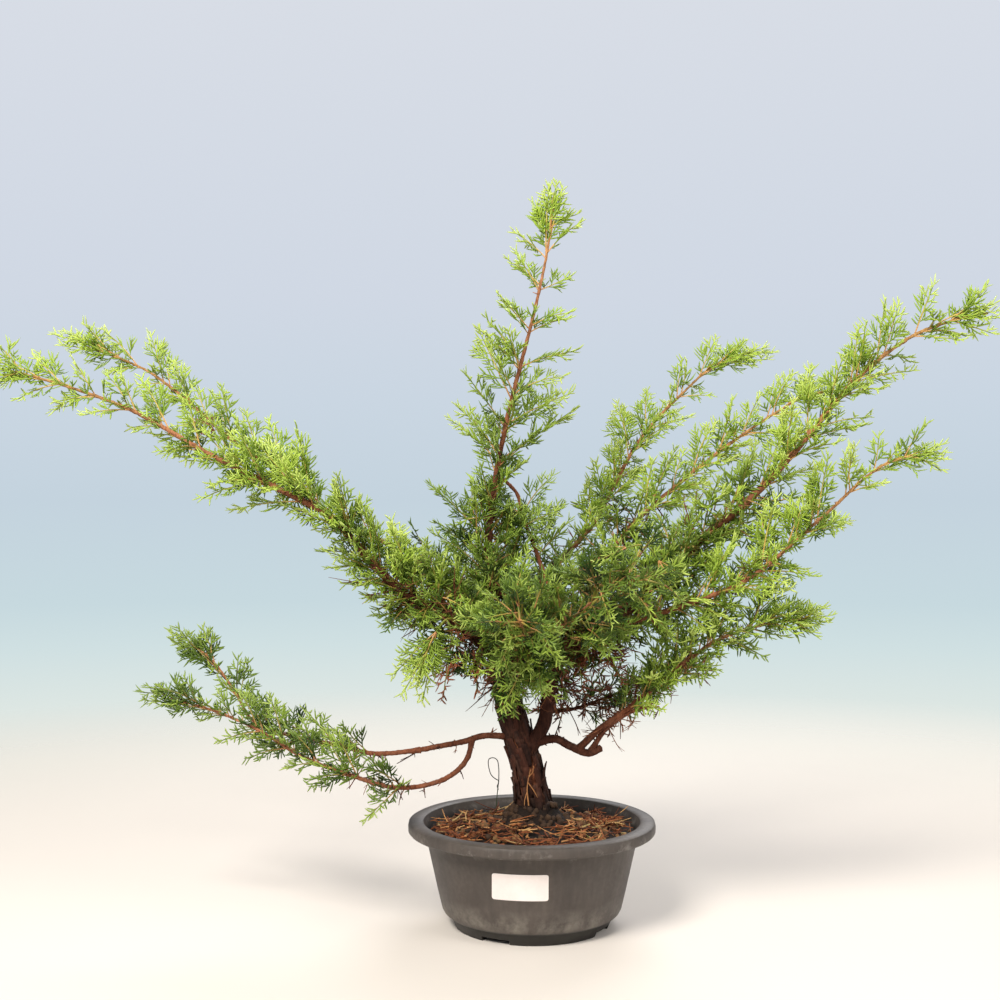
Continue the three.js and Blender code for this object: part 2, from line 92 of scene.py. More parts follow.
def new_material(name, roughness, specular=0.5):
    """A material with its Principled shader, and constants set on the shader itself."""
    material = bpy.data.materials.new(name)
    material.use_nodes = True
    shader = material.node_tree.nodes["Principled BSDF"]
    shader.inputs["Roughness"].default_value = roughness
    shader.inputs["Specular IOR Level"].default_value = specular
    return material, material.node_tree, shader


def add_node(tree, kind, links=None, **values):
    """Adds a node, sets its inputs or properties by name, and links the inputs given."""
    node = tree.nodes.new(kind)
    for name, value in values.items():
        if hasattr(node, name):
            setattr(node, name, value)
        else:
            node.inputs[name.replace("_", " ")].default_value = value
    for name, source in (links or {}).items():
        tree.links.new(source, node.inputs[name])
    return node


def ramp(tree, source, stops):
    """A colour ramp through (position, colour) stops."""
    node = tree.nodes.new("ShaderNodeValToRGB")
    tree.links.new(source, node.inputs["Fac"])
    while len(node.color_ramp.elements) < len(stops):
        node.color_ramp.elements.new(0.5)
    for element, (position, colour) in zip(node.color_ramp.elements, stops):
        element.position = position
        element.color = colour
    return node.outputs["Color"]


print("chart white:", paint(255, 255, 255))

# %% [markdown]
# Finishes are built by laying one colour over another through a mask. The next helpers mix, make
# masks from a value, from a band of heights or from both, and add fine relief.

# %% Mask helpers
def mixed(tree, amount, first, second, blend="MIX"):
    """Mixes two colours; each may be a socket or a plain colour."""
    node = tree.nodes.new("ShaderNodeMix")
    node.data_type = "RGBA"
    node.blend_type = blend
    for socket, value in ((node.inputs[0], amount), (node.inputs[6], first), (node.inputs[7], second)):
        if isinstance(value, bpy.types.NodeSocket):
            tree.links.new(value, socket)
        else:
            socket.default_value = value
    return node.outputs[2]


def spread(tree, source, low, high, to_low=0.0, to_high=1.0):
    """Stretches a value from one range to another, held at both ends."""
    node = add_node(tree, "ShaderNodeMapRange", {"Value": source})
    for name, value in (
        ("From Min", low), ("From Max", high), ("To Min", to_low), ("To Max", to_high),
    ):
        node.inputs[name].default_value = value
    return node.outputs["Result"]


def times(tree, first, second):
    """The product of a value and a second value or plain number."""
    node = tree.nodes.new("ShaderNodeMath")
    node.operation = "MULTIPLY"
    tree.links.new(first, node.inputs[0])
    if isinstance(second, float):
        node.inputs[1].default_value = second
    else:
        tree.links.new(second, node.inputs[1])
    return node.outputs[0]


def band(tree, height, low, high, soft):
    """1 between two heights in millimetres, soft at both ends."""
    rise = spread(tree, height, (low - soft) * MM, (low + soft) * MM)
    fall = spread(tree, height, (high - soft) * MM, (high + soft) * MM, 1.0, 0.0)
    return times(tree, rise, fall)


def object_place(tree):
    """Where a point is on its object, in metres."""
    return add_node(tree, "ShaderNodeTexCoord").outputs["Object"]


def height_of(tree, place):
    """A place's height over the table, in metres."""
    return add_node(tree, "ShaderNodeSeparateXYZ", {"Vector": place}).outputs["Z"]


def bump(tree, shader, height, strength, distance):
    """Fine relief from a height, for the shader's normal."""
    node = add_node(tree, "ShaderNodeBump", {"Height": height}, Strength=strength, Distance=distance)
    tree.links.new(node.outputs["Normal"], shader.inputs["Normal"])


print("one millimetre in metres:", MM)


# %% [markdown]
# The floor is a plain pale disc. Its material thins out towards the rim, so no hard edge shows
# from any side and the disc melts into the air behind the tree, like a sweep of studio paper.

# %% Floor
FLOOR_RADIUS = 1.9
bpy.ops.mesh.primitive_circle_add(vertices=96, radius=FLOOR_RADIUS, fill_type="NGON")
floor = bpy.context.object
floor.name = "floor"
material, tree, shader = new_material("pale floor", 0.85, 0.2)
place = object_place(tree)
reach = add_node(tree, "ShaderNodeVectorMath", {"Vector": place}, operation="LENGTH").outputs["Value"]
tree.links.new(
    ramp(tree, spread(tree, reach, 0.1, 1.2), [(0, paint(220, 213, 206)), (1, paint(222, 214, 206))]),
    shader.inputs["Base Color"],
)
tree.links.new(spread(tree, reach, 0.35, 1.5, 1.0, 0.0), shader.inputs["Alpha"])
floor.data.materials.append(material)
print("floor radius:", FLOOR_RADIUS)


# %% [markdown]
# The light is that of a bright room with white paper: warm and pale low down, a cool pale blue
# higher up. A sky that changes only with height gives that soft all-round light from every side.
# Three big soft lamps on top of it give the sprays a bright side and a shaded side.

# %% Air and lamps
world = bpy.data.worlds.new("studio air")
bpy.context.scene.world = world
world.use_nodes = True
tree = world.node_tree
heading = add_node(tree, "ShaderNodeTexCoord").outputs["Generated"]
height = add_node(tree, "ShaderNodeSeparateXYZ", {"Vector": heading}).outputs["Z"]
air = ramp(tree, spread(tree, height, -0.5, 0.5), [
    (0.23, paint(248, 239, 227)),
    (0.29, paint(245, 240, 228)),
    (0.33, paint(236, 237, 228)),
    (0.36, paint(222, 231, 227)),
    (0.40, paint(208, 224, 226)),
    (0.43, paint(199, 217, 223)),
    (0.50, paint(196, 211, 222)),
    (0.57, paint(202, 214, 226)),
    (0.64, paint(208, 216, 228)),
    (0.83, paint(216, 221, 230)),
    (1.00, paint(230, 232, 236)),
])
tree.links.new(air, tree.nodes["Background"].inputs["Color"])
AIR_SEEN, AIR_FELT = 1.0, 0.41  # its brightness to the eye, and as light on the tree
ray = add_node(tree, "ShaderNodeLightPath").outputs["Is Camera Ray"]
tree.links.new(
    spread(tree, ray, 0.0, 1.0, AIR_FELT, AIR_SEEN), tree.nodes["Background"].inputs["Strength"]
)

LAMPS = {
    # name: (place, side in metres, watts, tint)
    "key": ((-0.8, -1.5, 1.7), 0.8, 66, (1.0, 0.95, 0.87)),
    "fill": ((1.5, -1.1, 1.1), 1.0, 18, (1.0, 0.97, 0.93)),
    "rear": ((0.5, 1.5, 1.6), 1.2, 30, (0.98, 0.98, 1.0)),
}
for name, (spot, side, watts, tint) in LAMPS.items():
    aim = (Vector((0, 0, 0.3)) - Vector(spot)).to_track_quat("-Z", "Y").to_euler()
    bpy.ops.object.light_add(type="AREA", location=spot, rotation=aim)
    lamp = bpy.context.object
    lamp.name = name + " lamp"
    lamp.data.size = side
    lamp.data.energy = watts
    lamp.data.color = tint
bpy.context.scene.view_settings.view_transform = "Standard"
print("lamps:", list(LAMPS))


# %% [markdown]
# Every piece is modelled the same way: start from a clean selection, add a primitive, shape it in
# edit mode, then apply what finishes it. These helpers hold the steps that come back each time.
# The last of them hands a finished piece over: it rides on the one body of the model, and stands
# for the CAD solids that it replaces.

# %% Modelling helpers
def work_on(piece):
    """Makes one object the selected and active one."""
    if bpy.context.mode != "OBJECT":
        bpy.ops.object.mode_set(mode="OBJECT")
    bpy.ops.object.select_all(action="DESELECT")
    piece.select_set(True)
    bpy.context.view_layer.objects.active = piece


def apply_modifier(piece, kind, **settings):
    """Adds a modifier with its settings and applies it at once."""
    work_on(piece)
    bpy.ops.object.modifier_add(type=kind)
    modifier = piece.modifiers[-1]
    for name, value in settings.items():
        setattr(modifier, name, value)
    bpy.ops.object.modifier_apply(modifier=modifier.name)


def cut_with(piece, cutter):
    """Takes the cutter's shape out of the piece, and the cutter away."""
    apply_modifier(piece, "BOOLEAN", operation="DIFFERENCE", object=cutter, solver="EXACT")
    bpy.data.objects.remove(cutter)


def rings_up(outline):
    """From a selected ring of edges, one new ring for each (radius, height) that follows."""
    for (radius, height), (wider, higher) in zip(outline, outline[1:]):
        bpy.ops.mesh.extrude_region_move(
            TRANSFORM_OT_translate={"value": (0, 0, (higher - height) * MM)}
        )
        bpy.ops.transform.resize(value=(wider / radius, wider / radius, 1))


def close_and_turn_out():
    """Draws the last ring to a point, fills the opening at the first one, and ends edit mode."""
    bpy.ops.mesh.merge(type="CENTER")
    bpy.ops.mesh.select_all(action="DESELECT")
    bpy.ops.mesh.select_mode(type="EDGE")
    bpy.ops.mesh.select_non_manifold()
    bpy.ops.mesh.edge_face_add()
    bpy.ops.mesh.select_all(action="SELECT")
    bpy.ops.mesh.normals_make_consistent(inside=False)
    bpy.ops.object.mode_set(mode="OBJECT")


def turned_out(piece):
    """Turns every face of a piece outwards."""
    work_on(piece)
    bpy.ops.object.mode_set(mode="EDIT")
    bpy.ops.mesh.select_all(action="SELECT")
    bpy.ops.mesh.normals_make_consistent(inside=False)
    bpy.ops.object.mode_set(mode="OBJECT")


def hand_over(piece, slot, *nodes):
    """Gives the piece its place on the model and hides the solids it replaces; the slot is not used."""
    piece.name = piece.name.replace(" ", "_")
    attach(piece, "root")
    if nodes:
        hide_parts(*nodes)
    print(f"{piece.name}: {len(piece.data.polygons)} faces")
    return piece


# %% [markdown]
# Two effects turn up on nearly every surface here, so each is a node group made once. Mottle
# gives two-scale soft patches, for colour that is never even. Settled dust gives a mask of ragged
# spots, more and larger ones for a larger amount, for grime, specks and splashes.

# %% Node groups: mottle and settled dust
def new_group(name, inputs, outputs):
    """An empty node group; returns it with the sockets inside that give and take its values."""
    group = bpy.data.node_groups.new(name, "ShaderNodeTree")
    for label, kind, value in inputs:
        socket = group.interface.new_socket(label, in_out="INPUT", socket_type=kind)
        if value is not None:
            socket.default_value = value
    for label, kind in outputs:
        group.interface.new_socket(label, in_out="OUTPUT", socket_type=kind)
    entry = group.nodes.new("NodeGroupInput")
    leave = group.nodes.new("NodeGroupOutput")
    return group, entry.outputs, leave.inputs


def use_group(tree, group, links=None, **values):
    """Puts a node group into a tree; returns its outputs."""
    node = tree.nodes.new("ShaderNodeGroup")
    node.node_tree = group
    for name, value in values.items():
        node.inputs[name.replace("_", " ")].default_value = value
    for name, source in (links or {}).items():
        tree.links.new(source, node.inputs[name])
    return node.outputs


MOTTLE, given, result = new_group(
    "Mottle",
    [("Place", "NodeSocketVector", None), ("Broad", "NodeSocketFloat", 30.0),
     ("Fine", "NodeSocketFloat", 220.0), ("Fine share", "NodeSocketFloat", 0.4)],
    [("Patches", "NodeSocketFloat")],
)
broad = add_node(MOTTLE, "ShaderNodeTexNoise", {"Vector": given["Place"], "Scale": given["Broad"]})
fine = add_node(MOTTLE, "ShaderNodeTexNoise", {"Vector": given["Place"], "Scale": given["Fine"]})
both = add_node(MOTTLE, "ShaderNodeMix", {
    "Factor": given["Fine share"], "A": broad.outputs["Fac"], "B": fine.outputs["Fac"],
})
MOTTLE.links.new(spread(MOTTLE, both.outputs["Result"], 0.32, 0.68), result["Patches"])

DUST, given, result = new_group(
    "Settled dust",
    [("Place", "NodeSocketVector", None), ("Patch size", "NodeSocketFloat", 60.0),
     ("Amount", "NodeSocketFloat", 0.5)],
    [("Dust", "NodeSocketFloat")],
)
patch = add_node(DUST, "ShaderNodeTexNoise", {
    "Vector": given["Place"], "Scale": given["Patch size"],
}, Detail=5.0, Roughness=0.7)
masked = add_node(DUST, "ShaderNodeMath", {
    0: patch.outputs["Fac"], 1: given["Amount"],
}, operation="ADD")
DUST.links.new(spread(DUST, masked.outputs[0], 0.95, 1.25), result["Dust"])
print("groups:", [g.name for g in bpy.data.node_groups])


# %% [markdown]
# The pot is moulded in one go from dark plastic, so it is one body of revolution. It could be a
# lathe or a spin, but climbing it ring by ring is easier to follow: start at the edge of the
# pad underneath, extrude, resize, and walk round the section to the middle of the inside floor.

# %% Pot: section
RIM_RADIUS, RIM_BASE, POT_HEIGHT = 105, 78.5, 88
POT_SECTION = [
    (16, 0), (16, 5), (58.4, 5), (58.4, 0), (65.4, 0), (69.4, 9.5), (72.4, 10.5), (74.6, 12.4),
    (76.2, 15.4), (79.8, 30), (83.8, 48), (87.4, 64), (90.4, RIM_BASE), (103.6, RIM_BASE),
    (104.8, 79.8), (RIM_RADIUS, 84), (104.3, 86.9), (102.2, POT_HEIGHT), (93.4, POT_HEIGHT),
    (92, 87.2), (91.4, 84.6), (87.6, 76.5), (80.8, 48), (73.3, 17.4), (65.4, 9), (1, 9),
]
bpy.ops.object.select_all(action="DESELECT")
bpy.ops.mesh.primitive_circle_add(vertices=192, radius=POT_SECTION[0][0] * MM, fill_type="NOTHING")
pot = bpy.context.object
pot.name = "training pot"
bpy.ops.object.mode_set(mode="EDIT")
bpy.ops.mesh.select_all(action="SELECT")
rings_up(POT_SECTION)
close_and_turn_out()
print("pot rings:", len(POT_SECTION))

# %% [markdown]
# The four notches in the foot ring and the four drainage holes are cut with boxes and drums, and
# a narrow bevel takes the sharpness off every edge, because a moulding has no knife edges.

# %% Pot: notches, drainage holes, softened edges
NOTCH_TURN, NOTCH_WIDTH, NOTCH_HEIGHT = math.radians(-118), 25, 4
FOOT_MIDDLE, NOTCH_CUTTER = 62, 22  # radius of the foot ring's middle, and how far a cutter spans it
DRAIN_RADIUS, DRAIN_CIRCLE = 9, 37
for quarter in range(4):
    turn = NOTCH_TURN + quarter * math.pi / 2
    bpy.ops.object.select_all(action="DESELECT")
    bpy.ops.mesh.primitive_cube_add(
        size=1,
        location=(FOOT_MIDDLE * MM * math.cos(turn), FOOT_MIDDLE * MM * math.sin(turn), 0),
        rotation=(0, 0, turn),
        scale=(NOTCH_CUTTER * MM, NOTCH_WIDTH * MM, 2 * NOTCH_HEIGHT * MM),
    )
    cut_with(pot, bpy.context.object)
    turn = (quarter + 0.5) * math.pi / 2
    bpy.ops.mesh.primitive_cylinder_add(
        vertices=40, radius=DRAIN_RADIUS * MM, depth=30 * MM,
        location=(DRAIN_CIRCLE * MM * math.cos(turn), DRAIN_CIRCLE * MM * math.sin(turn), 7 * MM),
    )
    cut_with(pot, bpy.context.object)
apply_modifier(pot, "BEVEL", width=0.6 * MM, segments=2, limit_method="ANGLE",
               angle_limit=math.radians(38))
work_on(pot)
bpy.ops.object.shade_smooth_by_angle(angle=math.radians(35))
hand_over(pot, "pot_plastic", "pot")


# %% [markdown]
# Training-pot plastic starts out nearly black and satin, and greys outdoors. The wall carries
# faint streaks that run down from the rim, pale lime splashes under the rim, a dusty band above
# the step, and a greenish, dirty foot. Height over the table places each of these. The inside of
# the wall is painted nearly black, as shade.

# %% Pot: weathered plastic, with painted shade inside
material, tree, shader = new_material("weathered pot plastic", 0.5, 0.45)
place = object_place(tree)
parts = add_node(tree, "ShaderNodeSeparateXYZ", {"Vector": place}).outputs
streaky = add_node(tree, "ShaderNodeMapping", {"Vector": place}, Scale=(1.0, 1.0, 0.12))
streaks = use_group(tree, MOTTLE, {"Place": streaky.outputs["Vector"]}, Broad=45.0, Fine=260.0)
patches = use_group(tree, MOTTLE, {"Place": place}, Broad=26.0, Fine=300.0, Fine_share=0.3)
plastic = mixed(tree, streaks["Patches"], paint(65, 59, 55), paint(85, 77, 71))
plastic = mixed(tree, spread(tree, patches["Patches"], 0.35, 1.0, 0.0, 0.55), plastic, paint(62, 55, 51))
STAINS = (
    # (patch size, amount, lowest, highest, softness, strength, paint), heights in millimetres
    (170.0, 0.22, -50, 150, 5, 0.80, paint(150, 144, 136)),  # specks all over
    (55.0, 0.55, 9, 26, 7, 0.72, paint(138, 132, 122)),  # dust above the step
    (85.0, 0.42, 74, 84, 3, 0.75, paint(168, 162, 156)),  # lime splashes under the rim
    (38.0, 0.72, -6, 9, 3, 0.75, paint(92, 86, 62)),  # grime on the foot
    (160.0, 0.36, 1, 10, 2, 0.80, paint(120, 76, 46)),  # rust on the foot
)
for patch_size, amount, low, high, soft, strength, colour in STAINS:
    stain = use_group(tree, DUST, {"Place": place}, Patch_size=patch_size, Amount=amount)["Dust"]
    mask = times(tree, times(tree, stain, band(tree, parts["Z"], low, high, soft)), strength)
    plastic = mixed(tree, mask, plastic, colour)
WALL_LEAN, INNER_SHADE_RADII = 0.23, (0.0703, 0.0716)
# A radius less the wall's lean at that height tells its inside from its outside. The inside is
# painted nearly black, as shade.
flat = add_node(tree, "ShaderNodeCombineXYZ", {"X": parts["X"], "Y": parts["Y"]})
from_middle = add_node(tree, "ShaderNodeVectorMath", {"Vector": flat.outputs["Vector"]},
                       operation="LENGTH").outputs["Value"]
leaned = add_node(tree, "ShaderNodeMath", {0: from_middle, 1: times(tree, parts["Z"], WALL_LEAN)},
                  operation="SUBTRACT").outputs[0]
inside = spread(tree, leaned, *INNER_SHADE_RADII, 0.92, 0.0)
plastic = mixed(tree, inside, plastic, paint(24, 22, 20))
tree.links.new(plastic, shader.inputs["Base Color"])
tree.links.new(spread(tree, patches["Patches"], 0.0, 1.0, 0.44, 0.62), shader.inputs["Roughness"])
scratch = add_node(tree, "ShaderNodeTexNoise", {"Vector": place}, Scale=900.0, Detail=3.0)
bump(tree, shader, scratch.outputs["Fac"], 0.12, 0.0004)
pot.data.materials.append(material)
print("pot material:", material.name)


# %% [markdown]
# Under the soil a square of plastic net lies over each drainage hole. A grid with its edges
# turned into bars is a net already: the wireframe modifier does just that. It is modelled once
# and copied to the other three holes, and each copy has its own mesh.

# %% Drain screens
SCREEN_SPAN, SCREEN_CELLS, SCREEN_Z = 20, 10, 9.9
bpy.ops.object.select_all(action="DESELECT")
bpy.ops.mesh.primitive_grid_add(
    x_subdivisions=SCREEN_CELLS, y_subdivisions=SCREEN_CELLS, size=SCREEN_SPAN * MM
)
net = bpy.context.object
apply_modifier(net, "WIREFRAME", thickness=0.8 * MM)
material, tree, shader = new_material("net plastic", 0.6)
place = object_place(tree)
dull = use_group(tree, MOTTLE, {"Place": place}, Broad=80.0, Fine=600.0)
tree.links.new(
    mixed(tree, dull["Patches"], paint(30, 30, 32), paint(52, 50, 46)), shader.inputs["Base Color"]
)
net.data.materials.append(material)
for number in range(4):
    turn = (number + 0.5) * math.pi / 2
    screen = net.copy()
    screen.data = net.data.copy()
    bpy.context.collection.objects.link(screen)
    screen.name = f"net {number + 1}"
    screen.location = (
        DRAIN_CIRCLE * MM * math.cos(turn), DRAIN_CIRCLE * MM * math.sin(turn), SCREEN_Z * MM,
    )
    work_on(screen)
    bpy.ops.object.transform_apply(location=True, rotation=True, scale=True)
    hand_over(screen, "screen_plastic", f"drain_screen_{number + 1}")
bpy.data.objects.remove(net)


# %% [markdown]
# The paper label needs no new shape: its solid already follows the wall. It is left blank. Paper
# that has been watered for a season is off-white, a little pink, cockled and dirty at the edge.

# %% Label
material, tree, shader = new_material("label paper", 0.45, 0.4)
place = object_place(tree)
tired = use_group(tree, MOTTLE, {"Place": place}, Broad=60.0, Fine=500.0, Fine_share=0.25)
specks = use_group(tree, DUST, {"Place": place}, Patch_size=420.0, Amount=0.26)["Dust"]
paper = mixed(tree, tired["Patches"], paint(244, 234, 230), paint(234, 224, 220))
paper = mixed(tree, times(tree, specks, 0.5), paper, paint(176, 164, 152))
tree.links.new(paper, shader.inputs["Base Color"])
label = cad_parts["label"]
label.data.materials.clear()
label.data.materials.append(material)
print("label faces:", len(label.data.polygons))


# %% [markdown]
# From here on most shapes are natural ones: limbs, twigs, needles. Each follows a route, given as
# a few points in millimetres. A smooth curve is laid through them and walked in equal steps, and
# at each step a frame of two directions square to the route is carried along without twisting.
# Rings set in these frames make a tube of any section.

# %% Routes and frames
def unit(vectors):
    """Vectors of length 1 in the same directions."""
    return vectors / np.maximum(np.linalg.norm(vectors, axis=-1, keepdims=True), 1e-12)


def smooth_route(points, count):
    """Points at equal steps along a centripetal Catmull-Rom curve through the given ones."""
    given = np.array(points, float)
    given = np.vstack([2 * given[0] - given[1], given, 2 * given[-1] - given[-2]])
    knots = np.concatenate([[0], np.cumsum(np.linalg.norm(np.diff(given, axis=0), axis=1) ** 0.5)])
    dense = []
    for i in range(len(given) - 3):
        p, k = given[i : i + 4], knots[i : i + 4]
        u = np.linspace(k[1], k[2], 24, endpoint=i == len(given) - 4)[:, None]
        a = [(k[j + 1] - u) / (k[j + 1] - k[j]) * p[j] + (u - k[j]) / (k[j + 1] - k[j]) * p[j + 1]
             for j in range(3)]
        b = [(k[j + 2] - u) / (k[j + 2] - k[j]) * a[j] + (u - k[j]) / (k[j + 2] - k[j]) * a[j + 1]
             for j in range(2)]
        dense.append((k[2] - u) / (k[2] - k[1]) * b[0] + (u - k[1]) / (k[2] - k[1]) * b[1])
    dense = np.vstack(dense)
    walked = np.concatenate([[0], np.cumsum(np.linalg.norm(np.diff(dense, axis=0), axis=1))])
    steps = np.linspace(0, walked[-1], count)
    return np.stack([np.interp(steps, walked, dense[:, axis]) for axis in range(3)], axis=1)


def frames_along(points, start=(0.3, 0.9, 0.2)):
    """Tangent, side and lift directions at each point, carried along without twist."""
    tangents = unit(np.gradient(points, axis=0))
    side = np.cross(tangents[0], start)
    sides = []
    for tangent in tangents:
        side = side - tangent * np.dot(side, tangent)
        side = side / np.linalg.norm(side)
        sides.append(side)
    sides = np.array(sides)
    return tangents, sides, np.cross(tangents, sides)


print("a curve of 5:", smooth_route([(0, 0, 0), (1, 0, 1), (2, 0, 0)], 5).round(2).tolist())

# %% [markdown]
# Most thin things here are tubes: a ring of corners at each point, joined by triangles. Many of
# them taper and bend only one way, so a second helper makes such a strand from its foot, its
# heading, its length and a bend.

# %% Tubes and strands
def tube(points, radii, sides=5):
    """Vertices and triangles of a thin tube that closes to a point at its far end."""
    points, radii = np.asarray(points, float), np.asarray(radii, float)
    _, side, lift = frames_along(points)
    angle = np.arange(sides) * 2 * math.pi / sides
    ring = side[:, None] * np.cos(angle)[None, :, None] + lift[:, None] * np.sin(angle)[None, :, None]
    body = (points[:, None] + ring * radii[:, None, None]).reshape(-1, 3)
    vertices = np.vstack([body, points[-1] + (points[-1] - points[-2]) * 0.25])
    faces = []
    for row in range(len(points) - 1):
        for i in range(sides):
            a, b = row * sides + i, row * sides + (i + 1) % sides
            faces += [(a, b, b + sides), (a, b + sides, a + sides)]
    last = (len(points) - 1) * sides
    faces += [(last + i, last + (i + 1) % sides, len(body)) for i in range(sides)]
    return vertices, np.array(faces)


def bent_strand(start, heading, length, bend, thick, sides=4, steps=4):
    """A tapering strand whose heading turns by the bend vector over its length."""
    along = np.linspace(0, 1, steps)[:, None]
    points = start + heading * length * along + bend * length * along**2
    return tube(points, np.linspace(thick, thick * 0.45, steps), sides)


print("corners of a tube of 4 rings:", len(tube(np.eye(4, 3), np.ones(4))[0]))

# %% [markdown]
# Needles, strips and leaves come in thousands, far too many for an object each. A heap gathers
# their corners and faces as arrays and makes one mesh of them at the end. Each corner can carry
# values, such as how old or how light it is, which a material then reads as attributes.

# %% Many small shapes as one mesh
class Heap:
    """Gathers small shapes, with a value or two for each corner, into one mesh."""

    def __init__(self, *attributes):
        self.parts, self.faces, self.count = [], [], 0
        self.values = {name: [] for name in attributes}

    def add(self, vertices, faces, **values):
        self.parts.append(vertices)
        self.faces.append(faces + self.count)
        self.count += len(vertices)
        for name, value in values.items():
            self.values[name].append(np.broadcast_to(value, len(vertices)))

    def build(self, name, scale=MM):
        """The heap as an object; the primitive's own mesh is swapped for the heap's corners."""
        bpy.ops.object.select_all(action="DESELECT")
        bpy.ops.mesh.primitive_plane_add()
        piece = bpy.context.object
        piece.name = name
        mesh = piece.data
        mesh.clear_geometry()
        corners, faces = np.vstack(self.parts) * scale, np.vstack(self.faces)
        mesh.vertices.add(len(corners))
        mesh.vertices.foreach_set("co", corners.astype(np.float32).ravel())
        mesh.loops.add(faces.size)
        mesh.loops.foreach_set("vertex_index", faces.astype(np.int32).ravel())
        mesh.polygons.add(len(faces))
        mesh.polygons.foreach_set("loop_start", np.arange(0, faces.size, 3, dtype=np.int32))
        for attribute, parts in self.values.items():
            layer = mesh.attributes.new(attribute, "FLOAT", "POINT")
            layer.data.foreach_set("value", np.concatenate(parts).astype(np.float32))
        mesh.update(calc_edges=True)
        mesh.validate()
        mesh.polygons.foreach_set("use_smooth", np.ones(len(mesh.polygons), dtype=bool))
        return piece


def attribute(tree, name):
    """The value that the corners carry under this name, for a material."""
    return add_node(tree, "ShaderNodeAttribute", attribute_name=name).outputs["Fac"]


def fractal(point, scale):
    """Noise in four octaves, about -1 to 1."""
    return noise.fractal(Vector(point) * scale, 0.8, 2.1, 4)


print("noise at a corner:", round(fractal((1, 2, 3), 0.3), 3))


# %% [markdown]
# The soil fills the pot to just under a centimetre below the rim, lies a little lower at the back,
# and is drawn up round the trunk. It is a drum whose top is ringed finely and then pushed about by noise
# into crumbs and lumps; the crumbs must be real, because the low light skims over them.

# %% Soil bed
SOIL_EDGE, SOIL_CROWN, SOIL_FALL = 80, 87, 5  # heights at the wall and the trunk, fall to the back
CROWN_RADIUS, EDGE_RADIUS = 18, 82
MOUND_HEIGHT, MOUND_REACH = 13, 31  # earth drawn up against the bark
TRUNK_FOOT = (2.0, 1.0)  # where the trunk's middle meets the soil
TOP_RINGS = [(86.3 - 1.5 * ring, SOIL_EDGE) for ring in range(57)]
SOIL_SECTION = [(64, 9.4), (72.2, 18), (86.3, 74), *TOP_RINGS]


def soil_height(x, y):
    """Height of the smooth soil surface over the table."""
    radius = math.hypot(x - TRUNK_FOOT[0], y - TRUNK_FOOT[1])
    share = min(1.0, max(0.0, (radius - CROWN_RADIUS) / (EDGE_RADIUS - CROWN_RADIUS)))
    crown = SOIL_CROWN - (SOIL_CROWN - SOIL_EDGE) * share * share
    mound = MOUND_HEIGHT * min(1.0, max(0.0, (MOUND_REACH - radius) / 14)) ** 1.5
    return crown + mound - SOIL_FALL * max(0.0, y) / 92


bpy.ops.object.select_all(action="DESELECT")
bpy.ops.mesh.primitive_circle_add(vertices=180, radius=SOIL_SECTION[0][0] * MM, fill_type="NOTHING",
                                  location=(0, 0, SOIL_SECTION[0][1] * MM))
soil = bpy.context.object
soil.name = "soil bed"
bpy.ops.object.mode_set(mode="EDIT")
bpy.ops.mesh.select_all(action="SELECT")
rings_up(SOIL_SECTION)
close_and_turn_out()
work_on(soil)
bpy.ops.object.transform_apply(location=True, rotation=False, scale=False)
for vertex in soil.data.vertices:
    x, y, z = vertex.co / MM
    if z > 75:
        crumbs = 1.3 * fractal((x, y, 5), 0.16) + 0.9 * fractal((x, y, 40), 0.5)
        vertex.co.z = (soil_height(x, y) + crumbs) * MM
work_on(soil)
bpy.ops.object.shade_smooth_by_angle(angle=math.radians(50))
hand_over(soil, "soil", "potting_soil")

# %% [markdown]
# Damp soil is nearly black and dull. Light grit shows between its crumbs, and a fine bump gives
# the grain that is too small to model.

# %% Soil material
material, tree, shader = new_material("damp potting soil", 0.9, 0.25)
place = object_place(tree)
crumb = use_group(tree, MOTTLE, {"Place": place}, Broad=90.0, Fine=420.0, Fine_share=0.5)
earth = mixed(tree, crumb["Patches"], paint(14, 9, 6), paint(36, 24, 18))
grit = use_group(tree, DUST, {"Place": place}, Patch_size=520.0, Amount=0.22)["Dust"]
tree.links.new(mixed(tree, times(tree, grit, 0.7), earth, paint(122, 92, 66)), shader.inputs["Base Color"])
lumps = add_node(tree, "ShaderNodeTexNoise", {"Vector": place}, Scale=700.0, Detail=4.0)
bump(tree, shader, lumps.outputs["Fac"], 0.6, 0.001)
soil.data.materials.append(material)
print("soil material:", material.name)


# %% [markdown]
# Baked-clay grains, three to seven millimetres across, lie in and on the soil. A ball of eighty
# faces, each corner pushed in or out by noise, is a convincing grain. Three are modelled and
# copied with a turn and a squash of their own; the ones round the trunk are damp and dark.

# %% Clay grains
rng = np.random.default_rng(11)


def grain_shape(seed):
    """Corners and triangles of one lumpy grain of radius 1, as arrays."""
    bpy.ops.object.select_all(action="DESELECT")
    bpy.ops.mesh.primitive_ico_sphere_add(subdivisions=2, radius=1)
    ball = bpy.context.object
    corners = np.array([v.co for v in ball.data.vertices])
    lumps = [1 + 0.34 * noise.noise(v.co * 1.1 + Vector((seed, 0, 0))) for v in ball.data.vertices]
    faces = np.array([p.vertices[:] for p in ball.data.polygons])
    bpy.data.objects.remove(ball)
    return corners * np.array(lumps)[:, None], faces


def random_turn():
    """A random rotation matrix."""
    q = unit(rng.normal(size=4))
    w, x, y, z = q
    return np.array([
        [1 - 2 * (y * y + z * z), 2 * (x * y - z * w), 2 * (x * z + y * w)],
        [2 * (x * y + z * w), 1 - 2 * (x * x + z * z), 2 * (y * z - x * w)],
        [2 * (x * z - y * w), 2 * (y * z + x * w), 1 - 2 * (x * x + y * y)],
    ])


